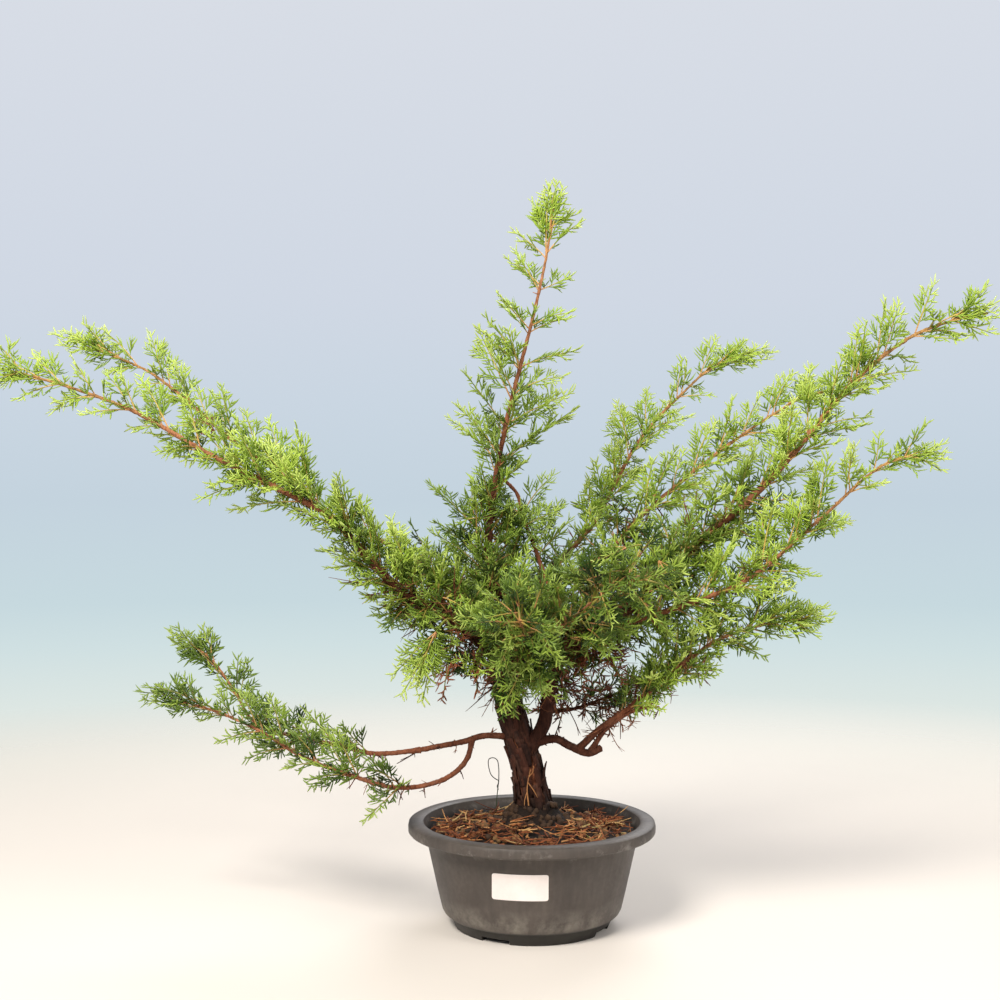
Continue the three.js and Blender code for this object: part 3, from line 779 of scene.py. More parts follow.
GRAIN_COUNT, GRAINS_AT_TRUNK, TRUNK_RING = 520, 150, (13, 32)
GRAIN_SHAPES = [grain_shape(seed) for seed in (0.0, 7.3, 15.1)]
grains = Heap("tone")
for index in range(GRAIN_COUNT):
    angle, radius = rng.uniform(0, 2 * math.pi), 84 * math.sqrt(rng.uniform(0.04, 1.0))
    if index < GRAINS_AT_TRUNK:
        radius = rng.uniform(*TRUNK_RING)
    x, y = radius * math.cos(angle), radius * math.sin(angle)
    shape, faces = GRAIN_SHAPES[index % 3]
    span = rng.uniform(1.5, 3.4)
    sized = shape * span * rng.uniform(0.75, 1.1, 3) @ random_turn().T
    lift = soil_height(x, y) + span * rng.uniform(-0.3, 0.5)
    lightest = 0.12 if radius < TRUNK_RING[1] else 1.0
    grains.add(sized + (x, y, lift), faces, tone=rng.uniform() * lightest)
grain_piece = grains.build("clay grains")
material, tree, shader = new_material("baked clay", 0.85, 0.3)
place = object_place(tree)
clay = ramp(tree, attribute(tree, "tone"), [
    (0.0, paint(52, 36, 26)), (0.35, paint(96, 70, 44)), (0.7, paint(140, 106, 66)),
    (1.0, paint(150, 84, 48)),
])
damp = use_group(tree, MOTTLE, {"Place": place}, Broad=180.0, Fine=900.0, Fine_share=0.5)
shade = mixed(tree, spread(tree, damp["Patches"], 0, 1, 0.0, 0.55), clay, paint(36, 26, 20))
tree.links.new(shade, shader.inputs["Base Color"])
grain_piece.data.materials.append(material)
hand_over(grain_piece, "soil")


# %% [markdown]
# Fallen needles and scraps of dry spray cover the soil, thickest at the front and at both sides.
# Each bit is a thin bent tube, and every other one may fork. They lie nearly flat, cross one
# another in layers, and differ in colour from dark brown through straw to a few that are green.

# %% Dry litter
STRAND_COUNT, LITTER_RADIUS = 500, 85


def in_drift(x, y):
    """How thickly litter lies at a place, 0 to 1."""
    near_trunk = min(1.0, max(0.0, (math.hypot(x - TRUNK_FOOT[0], y - TRUNK_FOOT[1]) - 28) / 12))
    front = 1.0 if y < -8 else (0.75 if abs(x) > 44 and y < 30 else 0.12)
    bare = 0.3 if -30 < x < 36 and -70 < y < -8 else 1.0
    clumps = min(1.0, max(0.06, 0.50 + 2.1 * noise.noise(Vector((x, y, 0)) * 0.055)))
    return near_trunk * front * bare * clumps * (math.hypot(x, y) < LITTER_RADIUS)


litter = Heap("tone")
strands = 0
while strands < STRAND_COUNT:
    angle, radius = rng.uniform(0, 2 * math.pi), LITTER_RADIUS * math.sqrt(rng.uniform())
    x, y = radius * math.cos(angle), radius * math.sin(angle)
    if rng.uniform() > in_drift(x, y):
        continue
    turn, tilt = rng.uniform(0, 2 * math.pi), rng.normal(0.02, 0.16)
    heading = unit(np.array([math.cos(turn), math.sin(turn), tilt]))
    length = rng.uniform(7, 19)
    start = np.array([x, y, soil_height(x, y) + rng.uniform(0.6, 5.2)])
    end = start + heading * length
    if math.hypot(end[0], end[1]) > LITTER_RADIUS + 1:
        continue
    tone = float(np.clip(rng.normal(0.38, 0.25), 0, 1))
    bend = rng.normal(0, 0.20, 3)
    thick = rng.uniform(0.45, 0.9)
    litter.add(*bent_strand(start, heading, length, bend, thick), tone=tone)
    strands += 1
    for fork in range(int(rng.integers(0, 4)) if strands % 2 else 0):
        share = rng.uniform(0.2, 0.75)
        foot = start + heading * length * share + bend * length * share**2
        aside = unit(heading + rng.normal(0, 0.55, 3) * (1, 1, 0.35))
        litter.add(*bent_strand(foot, aside, length * rng.uniform(0.25, 0.5), bend, thick * 0.8),
                   tone=tone)
litter_piece = litter.build("dry litter")
dry_needles, tree, shader = new_material("dry needles", 0.75, 0.35)
place = object_place(tree)
straw = ramp(tree, attribute(tree, "tone"), [
    (0.00, paint(46, 22, 12)), (0.25, paint(98, 48, 23)), (0.50, paint(162, 92, 48)),
    (0.75, paint(222, 170, 108)), (0.92, paint(214, 190, 132)), (1.00, paint(126, 132, 62)),
])
worn = use_group(tree, MOTTLE, {"Place": place}, Broad=120.0, Fine=700.0, Fine_share=0.5)
tree.links.new(
    mixed(tree, spread(tree, worn["Patches"], 0, 1, 0.1, 0.6), straw, paint(84, 46, 27)),
    shader.inputs["Base Color"],
)
litter_piece.data.materials.append(dry_needles)
hand_over(litter_piece, "dry_litter", "litter_left", "litter_right")


# %% [markdown]
# A thin tag wire stands behind the trunk and ends in a bent, open loop; its foot has gone green.

# %% Tag wire
WIRE_STEPS, WIRE_RADIUS = 90, 0.42
WIRE_ROUTE = [
    (-31, 34, 70), (-30.4, 34, 84), (-30, 34, 96), (-28.8, 33.4, 108), (-28.5, 33, 114),
    (-31, 33, 115.5), (-34.6, 32.4, 119), (-36.4, 32, 124), (-37.3, 32, 130), (-36.6, 32, 133),
    (-33, 32, 134.2), (-29.5, 33, 132), (-28.2, 33, 126), (-28, 33, 119), (-28.3, 33.2, 112),
    (-29.4, 33.7, 109), (-28.4, 34.2, 106),
]
wire = Heap("tone")
wire.add(*tube(smooth_route(WIRE_ROUTE, WIRE_STEPS), np.full(WIRE_STEPS, WIRE_RADIUS), 8), tone=0.0)
wire_piece = wire.build("tag wire bent")
material, tree, shader = new_material("tag wire metal", 0.42)
place = object_place(tree)
level = height_of(tree, place)
tarnish = use_group(tree, MOTTLE, {"Place": place}, Broad=120.0, Fine=800.0)
steel = mixed(tree, tarnish["Patches"], paint(96, 96, 92), paint(60, 58, 54))
tree.links.new(
    mixed(tree, spread(tree, level, 0.100, 0.116, 0.85, 0.0), steel, paint(70, 88, 58)),
    shader.inputs["Base Color"],
)
shader.inputs["Metallic"].default_value = 0.4
wire_piece.data.materials.append(material)
hand_over(wire_piece, "wire", "tag_wire")


# %% [markdown]
# A limb is a sheet of bark rolled round its route. The grid primitive brings a UV map that runs
# once around and once along, and each of its corners is moved to its own angle and distance on
# the route. The bark's relief is in the mesh: long plates from a cell pattern that is stretched
# along the limb, ridges between them, and a slow wobble so that no limb is a plain cone.

# %% Rolled limbs
def bark_relief(point, coarse):
    """How far the bark stands out, in units of the relief's depth."""
    stretched = Vector((point[0], point[1], point[2] * 0.34)) * coarse
    near, spots = noise.voronoi(stretched)
    plate = noise.cell(spots[0] * 3.7) * 0.5
    crack = min(1.0, (near[1] - near[0]) * 2.4)
    ridges = noise.noise(Vector((point[0] * 0.5, point[1] * 0.5, point[2] * 0.06)) * 1.4)
    return (0.55 + 0.45 * plate) * crack + 0.45 * ridges + 0.3 * fractal(point, 0.55) - 0.5


def rolled_limb(name, route, radius_at, around, rings, relief, coarse=0.16):
    """One limb as a closed tube; radius_at(t, angle) and relief are in millimetres."""
    bpy.ops.object.select_all(action="DESELECT")
    bpy.ops.mesh.primitive_grid_add(x_subdivisions=around, y_subdivisions=rings, size=2)
    piece = bpy.context.object
    piece.name = name
    points = smooth_route(route, rings + 1)
    _, sides, lifts = frames_along(points)
    youth = piece.data.attributes.new("youth", "FLOAT", "POINT")
    for vertex in piece.data.vertices:
        angle = (vertex.co.x + 1) * math.pi
        t = (vertex.co.y + 1) / 2
        row = round(t * rings)
        outward = sides[row] * math.cos(angle) + lifts[row] * math.sin(angle)
        radius = radius_at(t, angle)
        skin = points[row] + outward * radius
        closing = 0.0 if row in (0, rings) else 1.0
        radius = (radius + relief * bark_relief(skin, coarse)) * closing
        vertex.co = Vector(points[row] + outward * radius) * MM
        youth.data[vertex.index].value = t
    work_on(piece)
    bpy.ops.object.mode_set(mode="EDIT")
    bpy.ops.mesh.select_all(action="SELECT")
    bpy.ops.mesh.remove_doubles(threshold=0.00001)
    bpy.ops.mesh.normals_make_consistent(inside=False)
    bpy.ops.object.mode_set(mode="OBJECT")
    bpy.ops.object.shade_smooth_by_angle(angle=math.radians(60))
    return piece


print("bark relief at a corner:", round(bark_relief((1, 2, 3), 0.16), 3))

# %% [markdown]
# The trunk leans a little to the left as it rises. It is thick at the root crown, where five
# buttresses run into the soil, and has shallow flutes higher up.

# %% Trunk
TRUNK_ROUTE = [
    (1, 2, 60), (2, 1, 92), (-1, 0, 117), (-6, 0, 140), (-14, 1, 165), (-21, 4, 190), (-26, 8, 225),
]


def trunk_radius(t, angle):
    """Thick at the root crown, with five buttresses there that fade out higher up."""
    crown = min(0.35, math.exp(-t * 10))
    buttress = 10 * crown * math.sin(5 * angle + 1.2)
    flute = 0.07 * math.sin(3 * angle + 5 * t) + 0.05 * math.sin(7 * angle - 9 * t)
    return (11.7 + 36 * crown - 4 * max(0.0, t - 0.35)) * (1 + flute) + buttress


trunk = rolled_limb("trunk bark", TRUNK_ROUTE, trunk_radius, 150, 230, 3.1, 0.15)
print("trunk faces:", len(trunk.data.polygons))

# %% [markdown]
# Old juniper bark peels: loose strips stay fixed at one end and curl away at the other, and they
# break the trunk's outline. One strip is a thin slab bent to the trunk's roundness. It is placed
# many times over, with its width, length and lift drawn from a seeded sequence, and three large
# ones are set one by one on the right-hand edge, where the real trunk shows them best.

# %% Peeling strips
def peeling_strip(t, angle, width, length, lift, slant):
    """A slab of bark set at t on the trunk, whose upper end lifts off."""
    across, along = 3, 7
    top, under = [], []
    for j in range(along):
        share = j / (along - 1)
        here = min(0.99, max(0.01, t + (share - 0.5) * length / TRUNK_LENGTH))
        row = int(here * TRUNK_STEPS)
        step_on = TRUNK_LINE[min(TRUNK_STEPS, row + 1)] - TRUNK_LINE[row]
        point = TRUNK_LINE[row] + step_on * (here * TRUNK_STEPS % 1)
        radius = trunk_radius(here, angle)
        for i in range(across):
            off = (i / (across - 1) - 0.5) * width * (1 - 0.5 * abs(share - 0.45))
            turn = angle + (off + slant * (share - 0.5)) / radius
            outward = TRUNK_SIDES[row] * math.cos(turn) + TRUNK_LIFTS[row] * math.sin(turn)
            raised = radius + 0.7 + lift * share**2
            top.append(point + outward * (raised + 0.45))
            under.append(point + outward * (raised - 0.5))
    faces = []
    for j in range(along - 1):
        for i in range(across - 1):
            a = j * across + i
            faces += [(a, a + 1, a + across + 1), (a, a + across + 1, a + across)]
    rim = [j * across for j in range(along)] + [(along - 1) * across + i for i in range(1, across)]
    rim += [j * across + across - 1 for j in range(along - 2, -1, -1)] + [1]
    total = across * along
    faces += [(c + total, b + total, a + total) for a, b, c in faces]
    for a, b in zip(rim, rim[1:] + rim[:1]):
        faces += [(a, a + total, b + total), (a, b + total, b)]
    return np.array(top + under), np.array(faces)


STRIP_COUNT, TRUNK_LENGTH, TRUNK_STEPS = 200, 165, 120
TRUNK_LINE = smooth_route(TRUNK_ROUTE, TRUNK_STEPS + 1)
_, TRUNK_SIDES, TRUNK_LIFTS = frames_along(TRUNK_LINE)
strips = Heap("youth")
for _ in range(STRIP_COUNT):
    t = rng.uniform(0.14, 0.97)
    lift = rng.uniform(-0.2, 1.0) + (rng.uniform() < 0.18) * rng.uniform(0.8, 2.2)
    strips.add(
        *peeling_strip(t, rng.uniform(0, 2 * math.pi), rng.uniform(2.5, 6.5), rng.uniform(8, 26),
                       lift, rng.normal(0, 2)),
        youth=float(rng.uniform(0.0, 0.2)),
    )
EDGE_FLAKES = (
    # (along the trunk, angle round it, width, length, lift, slant), on its right-hand edge
    (0.38, 3.24, 8.0, 18, 5.5, 2.0), (0.33, 2.90, 5.0, 14, 4.0, -1.5), (0.56, 3.20, 5.0, 16, 3.0, 1.0),
)
for flake in EDGE_FLAKES:
    strips.add(*peeling_strip(*flake), youth=0.08)
strip_piece = strips.build("peeling bark")
turned_out(strip_piece)
print("strips:", STRIP_COUNT + len(EDGE_FLAKES))

# %% [markdown]
# One bark serves every limb. How young the wood is, a value at each corner, picks the colour from
# old red-brown to the green of this year's shoots; fibres run along the trunk, a little grey
# lichen lies on it, and it is darker where it comes out of the soil.

# %% Bark material
bark, tree, shader = new_material("juniper bark", 0.85, 0.25)
place = object_place(tree)
drawn = add_node(tree, "ShaderNodeMapping", {"Vector": place}, Scale=(1.0, 1.0, 0.3))
fibre = use_group(tree, MOTTLE, {"Place": drawn.outputs["Vector"]}, Broad=190.0, Fine=900.0, Fine_share=0.5)
lichen = use_group(tree, MOTTLE, {"Place": place}, Broad=60.0, Fine=240.0)
aged = ramp(tree, attribute(tree, "youth"), [
    (0.00, paint(50, 28, 20)), (0.20, paint(84, 47, 33)), (0.42, paint(140, 84, 57)),
    (0.70, paint(196, 136, 96)), (0.90, paint(206, 166, 98)), (1.00, paint(164, 168, 86)),
])
dark = mixed(tree, 1.0, aged, paint(150, 132, 128), "MULTIPLY")
wood = mixed(tree, fibre["Patches"], dark, aged)
grey = mixed(tree, spread(tree, lichen["Patches"], 0.5, 1.0, 0.0, 0.22), wood, paint(140, 104, 84))
level = height_of(tree, place)
# Darker low on the trunk, where it comes out of the soil.
dark_at_soil = spread(tree, level, 0.096, 0.122, 0.93, 0.0)
tree.links.new(mixed(tree, dark_at_soil, grey, paint(22, 14, 10)), shader.inputs["Base Color"])
grain = add_node(tree, "ShaderNodeTexNoise", {"Vector": drawn.outputs["Vector"]}, Scale=900.0, Detail=4.0)
bump(tree, shader, grain.outputs["Fac"], 0.7, 0.0012)
trunk.data.materials.append(bark)
strip_piece.data.materials.append(bark)
hand_over(trunk, "bark", "trunk")
hand_over(strip_piece, "bark")


# %% [markdown]
# The limbs: each route is walked from where it leaves older wood to its tip, with a thickness at
# both ends, in millimetres, and how young the bark is there: 0 is old and flaky, 1 is this year's
# green shoot. A limb that forks is rolled fork by fork and joined.

# %% Limbs
LIMBS = {
    # name: [(route, (thick, thin), (youth at the start, at the tip)), ...]
    "leader": [
        ([(-26, 8, 217), (-34, 14, 273), (-37, 16, 310), (-35, 18, 345)], (7.9, 2.8), (0.05, 0.3)),
        ([(-35, 18, 341), (-30, 20, 382), (-19, 18, 438), (-9, 14, 477), (1, 14, 515),
          (12, 10, 564), (19, 6, 612)], (2.7, 0.9), (0.3, 0.85)),
        ([(32, -8, 244), (20, 4, 272), (8, 13, 304), (-1, 16, 329), (-8, 17, 345), (-12, 17, 364),
          (-27, 20, 380)], (2.2, 1.6), (0.4, 0.5)),
    ],
    "right_stem": [
        ([(-9, 0, 138), (10, -6, 170), (14, -8, 190), (20, -8, 216), (34, -12, 241),
          (65, -25, 258)], (6.6, 4.8), (0.1, 0.3)),
    ],
    "left_low_branch": [
        ([(-8, 0, 156), (-40, -8, 160), (-59, -14, 156), (-94, -20, 150)], (3.0, 2.2), (0.25, 0.4)),
        ([(-92, -20, 150), (-132, -20, 147), (-166, -10, 153), (-206, 0, 159), (-240, 10, 171),
          (-256, 15, 195), (-278, 21, 222), (-296, 25, 234)], (2.3, 0.9), (0.4, 0.75)),
        ([(-50, -11, 158), (-55, -22, 142), (-72, -35, 129), (-109, -48, 124), (-149, -55, 136),
          (-191, -45, 150), (-225, -30, 167), (-270, -20, 184), (-308, -15, 193)],
         (2.4, 0.9), (0.3, 0.75)),
    ],
    "left_high_branch": [
        ([(-22, 8, 214), (-69, -5, 260), (-96, -15, 274), (-122, -25, 295), (-160, -32, 338),
          (-177, -33, 353)], (4.7, 3.1), (0.2, 0.45)),
        ([(-175, -33, 351), (-221, -35, 374), (-271, -40, 400), (-331, -50, 434),
          (-407, -60, 460), (-436, -62, 466)], (2.9, 0.8), (0.45, 0.95)),
        ([(-164, -32, 342), (-204, -10, 378), (-251, 10, 406), (-309, 35, 453),
          (-341, 40, 475), (-395, 45, 496)], (2.4, 0.8), (0.45, 0.95)),
    ],
    "left_cut_branch": [
        ([(-30, 11, 258), (-70, 20, 282), (-97, 30, 297), (-121, 40, 317), (-144, 45, 330)],
         (2.9, 1.9), (0.3, 0.5)),
    ],
    "right_high_branch": [
        ([(54, -20, 252), (100, -35, 289), (138, -40, 326), (176, -45, 358), (212, -50, 397),
          (262, -60, 458), (304, -70, 491), (340, -76, 504), (362, -79, 508)],
         (4.8, 0.9), (0.25, 0.95)),
    ],
    "right_rear_branch": [
        ([(-34, 13, 259), (-10, 30, 275), (27, 70, 305), (61, 100, 340), (79, 115, 373),
          (108, 125, 421), (146, 130, 461), (178, 135, 488), (205, 136, 494)],
         (3.3, 0.8), (0.3, 0.95)),
    ],
    "right_middle_branch": [
        ([(-35, 14, 277), (0, 24, 284), (61, 40, 307), (95, 60, 341), (149, 75, 386),
          (206, 85, 427), (246, 85, 451), (272, 85, 459)], (3.1, 0.8), (0.3, 0.95)),
    ],
    "right_outer_branch": [
        ([(46, -15, 249), (87, -50, 262), (133, -70, 279), (171, -80, 297), (228, -85, 346),
          (280, -85, 389), (318, -85, 396)], (2.7, 0.8), (0.35, 0.95)),
    ],
    "right_low_branch": [
        ([(-6, 0, 150), (19, -12, 158), (32, -20, 153), (46, -26, 149), (58, -30, 154)],
         (3.9, 3.2), (0.2, 0.25)),
        ([(37, -22, 150), (54, -30, 168), (76, -38, 185), (96, -45, 203), (120, -55, 225),
          (149, -60, 246), (183, -62, 258), (222, -64, 264)], (3.2, 0.8), (0.25, 0.95)),
        ([(48, -28, 150), (60, -31, 168), (73, -38, 180), (90, -44, 189), (104, -48, 190)],
         (2.5, 1.0), (0.25, 0.5)),
    ],
    "right_inner_branch": [
        ([(12, -7, 180), (37, 5, 181), (64, 15, 189), (95, 25, 199), (131, 35, 209),
          (156, 42, 218)], (1.7, 0.8), (0.15, 0.6)),
    ],
    "front_branch": [
        ([(-24, 8, 204), (-15, -35, 226), (-8, -80, 250), (-12, -125, 268)], (3.2, 0.8), (0.2, 0.8)),
        ([(-16, -28, 222), (20, -62, 252), (52, -92, 284), (80, -112, 300)], (2.2, 0.8), (0.3, 0.8)),
    ],
    "rear_branch": [
        ([(-27, 8, 225), (-22, 50, 246), (-20, 100, 262), (-30, 150, 280)], (3.4, 0.8), (0.2, 0.8)),
        ([(-22, 48, 244), (20, 90, 262), (55, 125, 288)], (2.2, 0.8), (0.3, 0.8)),
        ([(-22, 58, 248), (-65, 95, 275), (-105, 125, 300)], (2.2, 0.8), (0.3, 0.8)),
    ],
}

print("limbs:", len(LIMBS), "forks:", sum(len(forks) for forks in LIMBS.values()))

# %% [markdown]
# Each fork tapers along its route, swells into a collar where it leaves older wood, and carries
# its own stretch of the scale from old to young.

# %% Roll the limbs
def join(name, pieces):
    """Several objects as one, with the first one's materials."""
    work_on(pieces[0])
    for piece in pieces:
        piece.select_set(True)
    if len(pieces) > 1:
        bpy.ops.object.join()
    pieces[0].name = name
    return pieces[0]


for name, forks in LIMBS.items():
    rolled = []
    for number, (route, (thick, thin), (old, young)) in enumerate(forks):
        length = sum(math.dist(a, b) for a, b in zip(route, route[1:]))

        def radius_at(t, angle, thick=thick, thin=thin, phase=number + len(name)):
            taper = thick + (thin - thick) * t
            collar = 0.35 * math.exp(-t * length / 5)
            return taper * (1 + collar + 0.08 * math.sin(angle + 9 * t + phase))

        piece = rolled_limb(name, route, radius_at, 18, int(length / 1.3), 0.55, 0.3)
        for item in piece.data.attributes["youth"].data:
            item.value = old + (young - old) * item.value
        piece.data.materials.append(bark)
        rolled.append(piece)
    hand_over(join("bark of " + name, rolled), "bark", name)


# %% [markdown]
# Inside the crown, where no light comes, the twigs are dead: a brown tangle of bare, forked,
# wiry sprays hangs from the lower limbs. A few also hang free under the low branches. Broken
# stubs along the older limbs show where others have been.

# %% Dead twigs and stubs
def limb_line(name, fork, count=80):
    """Points at equal steps along one fork of a limb."""
    return smooth_route(LIMBS[name][fork][0], count)


def dead_twig(heap, foot, heading, length, thick, youth):
    """A bare twig with one to four side twigs."""
    bend = rng.normal(0, 0.22, 3)
    heap.add(*bent_strand(foot, heading, length, bend, thick, 4, 6), youth=youth)
    for _ in range(int(rng.integers(1, 5))):
        share = rng.uniform(0.2, 0.85)
        start = foot + heading * length * share + bend * length * share**2
        aside = unit(heading + rng.normal(0, 0.6, 3))
        heap.add(*bent_strand(start, aside, length * rng.uniform(0.2, 0.5), bend, thick * 0.65, 4, 4),
                 youth=youth)


TANGLES = [
    # limb, fork, from, to, how many, length, downward pull
    ("leader", 0, 0.0, 0.5, 60, 34, -0.2), ("right_stem", 0, 0.45, 1.0, 90, 38, -0.3),
    ("left_high_branch", 0, 0.05, 0.6, 70, 36, -0.5), ("front_branch", 0, 0.0, 0.5, 50, 34, -0.4),
    ("rear_branch", 0, 0.0, 0.5, 20, 32, -0.3), ("right_low_branch", 1, 0.1, 0.6, 22, 24, -0.3),
    ("right_inner_branch", 0, 0.1, 0.9, 60, 24, 0.1), ("right_high_branch", 0, 0.0, 0.3, 50, 34, -0.6),
    ("left_low_branch", 1, 0.0, 0.5, 12, 15, -0.3), ("left_low_branch", 2, 0.05, 0.5, 16, 16, -0.1),
    ("left_low_branch", 0, 0.1, 0.9, 7, 12, 0.2), ("right_low_branch", 2, 0.3, 1.0, 9, 17, -1.2),
    ("left_cut_branch", 0, 0.1, 0.9, 10, 20, 0.0), ("right_middle_branch", 0, 0.1, 0.5, 12, 24, -0.2),
    ("right_rear_branch", 0, 0.1, 0.5, 12, 24, -0.2), ("right_outer_branch", 0, 0.1, 0.5, 10, 22, -0.4),
]
twigs = Heap("youth")
for name, fork, low, high, count, length, pull in TANGLES:
    line = limb_line(name, fork)
    for _ in range(count):
        foot = line[int(rng.uniform(low, high) * 79)]
        heading = unit(rng.normal(0, 1, 3) + (0, 0, pull))
        dead_twig(twigs, foot, heading, length * rng.uniform(0.5, 1.3), rng.uniform(0.45, 0.8),
                  float(rng.uniform(0.1, 0.6)))
for name, forks in LIMBS.items():
    for fork, (_, (thick, thin), (old, young)) in enumerate(forks):
        line = limb_line(name, fork)
        for _ in range(int(thick * 3)):
            t = rng.uniform(0.08, 0.8)
            radius = thick + (thin - thick) * t
            heading = unit(rng.normal(0, 1, 3))
            twigs.add(*bent_strand(line[int(t * 79)], heading, radius + rng.uniform(1, 4),
                                   rng.normal(0, 0.1, 3), min(1.1, radius * 0.45), 5, 3),
                      youth=old + (young - old) * t)
twig_piece = twigs.build("dead twigs and stubs")
twig_piece.data.materials.append(bark)
hand_over(twig_piece, "bark")

# %% [markdown]
# One scrap of dry forked twig is caught on the front of the trunk. It is four thin tubes that
# follow given routes.

# %% Twig caught on the bark
CAUGHT_INSET = 1.6  # millimetres that the bits sink towards the bark
caught = Heap("tone")
for route, thick in (
    ([(-3, -19.2, 103), (-4.2, -18.6, 118), (-1.5, -18, 133)], 0.65),
    ([(-3.4, -18.9, 122), (1.0, -18.8, 116), (4.4, -19, 110)], 0.55),
    ([(-4.0, -18.9, 115), (-6.2, -18.8, 108), (-6.6, -18.9, 103)], 0.5),
    ([(-2.6, -18.5, 127), (0.4, -18.4, 131), (1.2, -18.3, 136)], 0.45),
):
    points = smooth_route(route, 10) + (0, CAUGHT_INSET, 0)
    caught.add(*tube(points, np.linspace(thick, thick * 0.5, 10), 5), tone=0.62)
caught_piece = caught.build("caught twig bits")
caught_piece.data.materials.append(dry_needles)
hand_over(caught_piece, "dry_litter", "caught_twig")


# %% [markdown]
# The foliage is tens of thousands of soft green fingers, each a twig no thicker than a match
# and covered in scale leaves. One finger has to do for all, so it gets few faces: a four-sided
# ring extruded up, widened, narrowed and closed to a point. It is one unit long and one unit
# from its middle to its widest edge, ready to be stretched.

# %% One finger of scale leaves
FINGER_RINGS = [(0.55, 0.0), (0.98, 0.3), (0.82, 0.72)]
bpy.ops.object.select_all(action="DESELECT")
bpy.ops.mesh.primitive_circle_add(vertices=4, radius=FINGER_RINGS[0][0] * MM, fill_type="NOTHING")
finger = bpy.context.object
bpy.ops.object.mode_set(mode="EDIT")
bpy.ops.mesh.select_all(action="SELECT")
rings_up(FINGER_RINGS)
rings_up([(FINGER_RINGS[-1][0], 0.72), (0.3, 1.0)])
bpy.ops.mesh.merge(type="CENTER")
bpy.ops.mesh.select_all(action="SELECT")
bpy.ops.mesh.quads_convert_to_tris()
bpy.ops.object.mode_set(mode="OBJECT")
FINGER = np.array([v.co for v in finger.data.vertices]) / MM
FINGER_FACES = np.array([p.vertices[:] for p in finger.data.polygons])
bpy.data.objects.remove(finger)
print("finger:", len(FINGER), "corners,", len(FINGER_FACES), "faces")


# %% [markdown]
# A spray grows the way the plant does. A shoot runs from the limb to its tip; flat sprays leave
# it left and right in turn; fingers leave each spray left and right in turn, shorter towards its
# end. Growing it by rule, from a seeded sequence, gives sprays that are all alike in build and
# never the same. Each finger only notes its place here; the meshes come later, all at once.

# %% How a shoot grows
UP, AWAY = np.array((0.0, 0.0, 1.0)), np.array((0.0, 1.0, 0.0))
SPRAY_GAP, FINGER_GAP = 4.4, 2.6  # millimetres from spray to spray, and from finger to finger
LONGEST_SPRAY, LONGEST_FINGER = 16.0, 12.5
SHALLOWEST, DEEPEST = cad_low[1] / MM, cad_high[1] / MM  # no shoot ends nearer or further than the solids


class Sprays:
    """The fingers and stems of one group of shoots."""

    def __init__(self):
        self.rows = []
        self.stems = []

    def finger(self, foot, heading, facing, length, thick, age, tone):
        """Notes the place of one finger; it curls to its flat side and rises a little."""
        curl, rise = rng.normal(0, 0.10), rng.uniform(0.02, 0.22)
        self.rows.append((*foot, *heading, *facing, length, thick, age, tone, curl, rise))

    def spray(self, foot, heading, facing, reach, age, tone):
        """A flat spray: a stem that ends in a finger, with fingers to both sides."""
        side = np.cross(heading, facing)
        self.finger(foot, heading, facing, reach, 0.66, age, tone)
        count = max(2, int(reach / FINGER_GAP))
        for k in range(count):
            share = 0.16 + 0.70 * k / count
            hand = 1 if k % 2 else -1
            angle = math.radians(rng.uniform(24, 46))
            aside = heading * math.cos(angle) + side * hand * math.sin(angle)
            aside = unit(aside + facing * rng.normal(0.05, 0.2))
            length = min(LONGEST_FINGER, (1 - share) * reach * 0.65 + 4.0) * rng.uniform(0.75, 1.25)
            self.finger(foot + heading * reach * share, aside, facing, length,
                        rng.uniform(0.58, 0.80), age + 0.12 * share, tone)

    def shoot(self, foot, tip, facing, age, tone):
        """A shoot with its sprays, from a place on a limb to a tip, both in millimetres."""
        tip = np.array((tip[0], min(max(tip[1], SHALLOWEST), DEEPEST), tip[2]))
        length = float(np.linalg.norm(tip - foot))
        heading = unit(tip - foot)
        lift = np.array((0, 0, 0.10)) + rng.normal(0, 0.05, 3)
        facing = unit(facing - heading * np.dot(facing, heading))
        side = np.cross(heading, facing)
        middle = (foot + tip) / 2 + lift * length

        def at(s):
            return foot * (1 - s) ** 2 + middle * 2 * s * (1 - s) + tip * s * s

        stem = np.array([at(s) for s in np.linspace(0, 1, 7)])
        self.stems.append((stem, np.linspace(0.42 + length / 190, 0.42, 7), age, tone))
        count = max(3, int(length / SPRAY_GAP))
        for k in range(count):
            s = 0.13 + 0.85 * k / count
            ahead = unit(at(min(1, s + 0.05)) - at(s - 0.05))
            left = length * (1 - s)
            reach = (min(LONGEST_SPRAY, left * 0.42) + 4.5) * rng.uniform(0.65, 1.25)
            reach *= 0.6 if s < 0.22 else 1
            angle = math.radians(rng.uniform(28, 56))
            hand = 1 if k % 2 else -1
            aside = ahead * math.cos(angle) + side * hand * math.sin(angle) + facing * rng.normal(0, 0.32)
            # Sprays near a shoot's foot, deeper in the crown, are painted in shade, and those towards its
            # tip in light.
            lighter = 0.34 * (s - 0.55) + rng.normal(0, 0.06)
            self.spray(at(s), unit(aside), facing, reach, age - 0.08 + 0.5 * s, tone + lighter)
        self.spray(at(0.95), heading, facing, min(10, 4 + length * 0.12), age + 0.35, tone)


print("a spray every", SPRAY_GAP, "mm, a finger every", FINGER_GAP, "mm")

# %% [markdown]
# Once all is grown, the one modelled finger is stretched, turned and set down at every noted place
# in a single sum over arrays, and the stems are added as tubes. Doing it one finger at a time
# would be far slower.

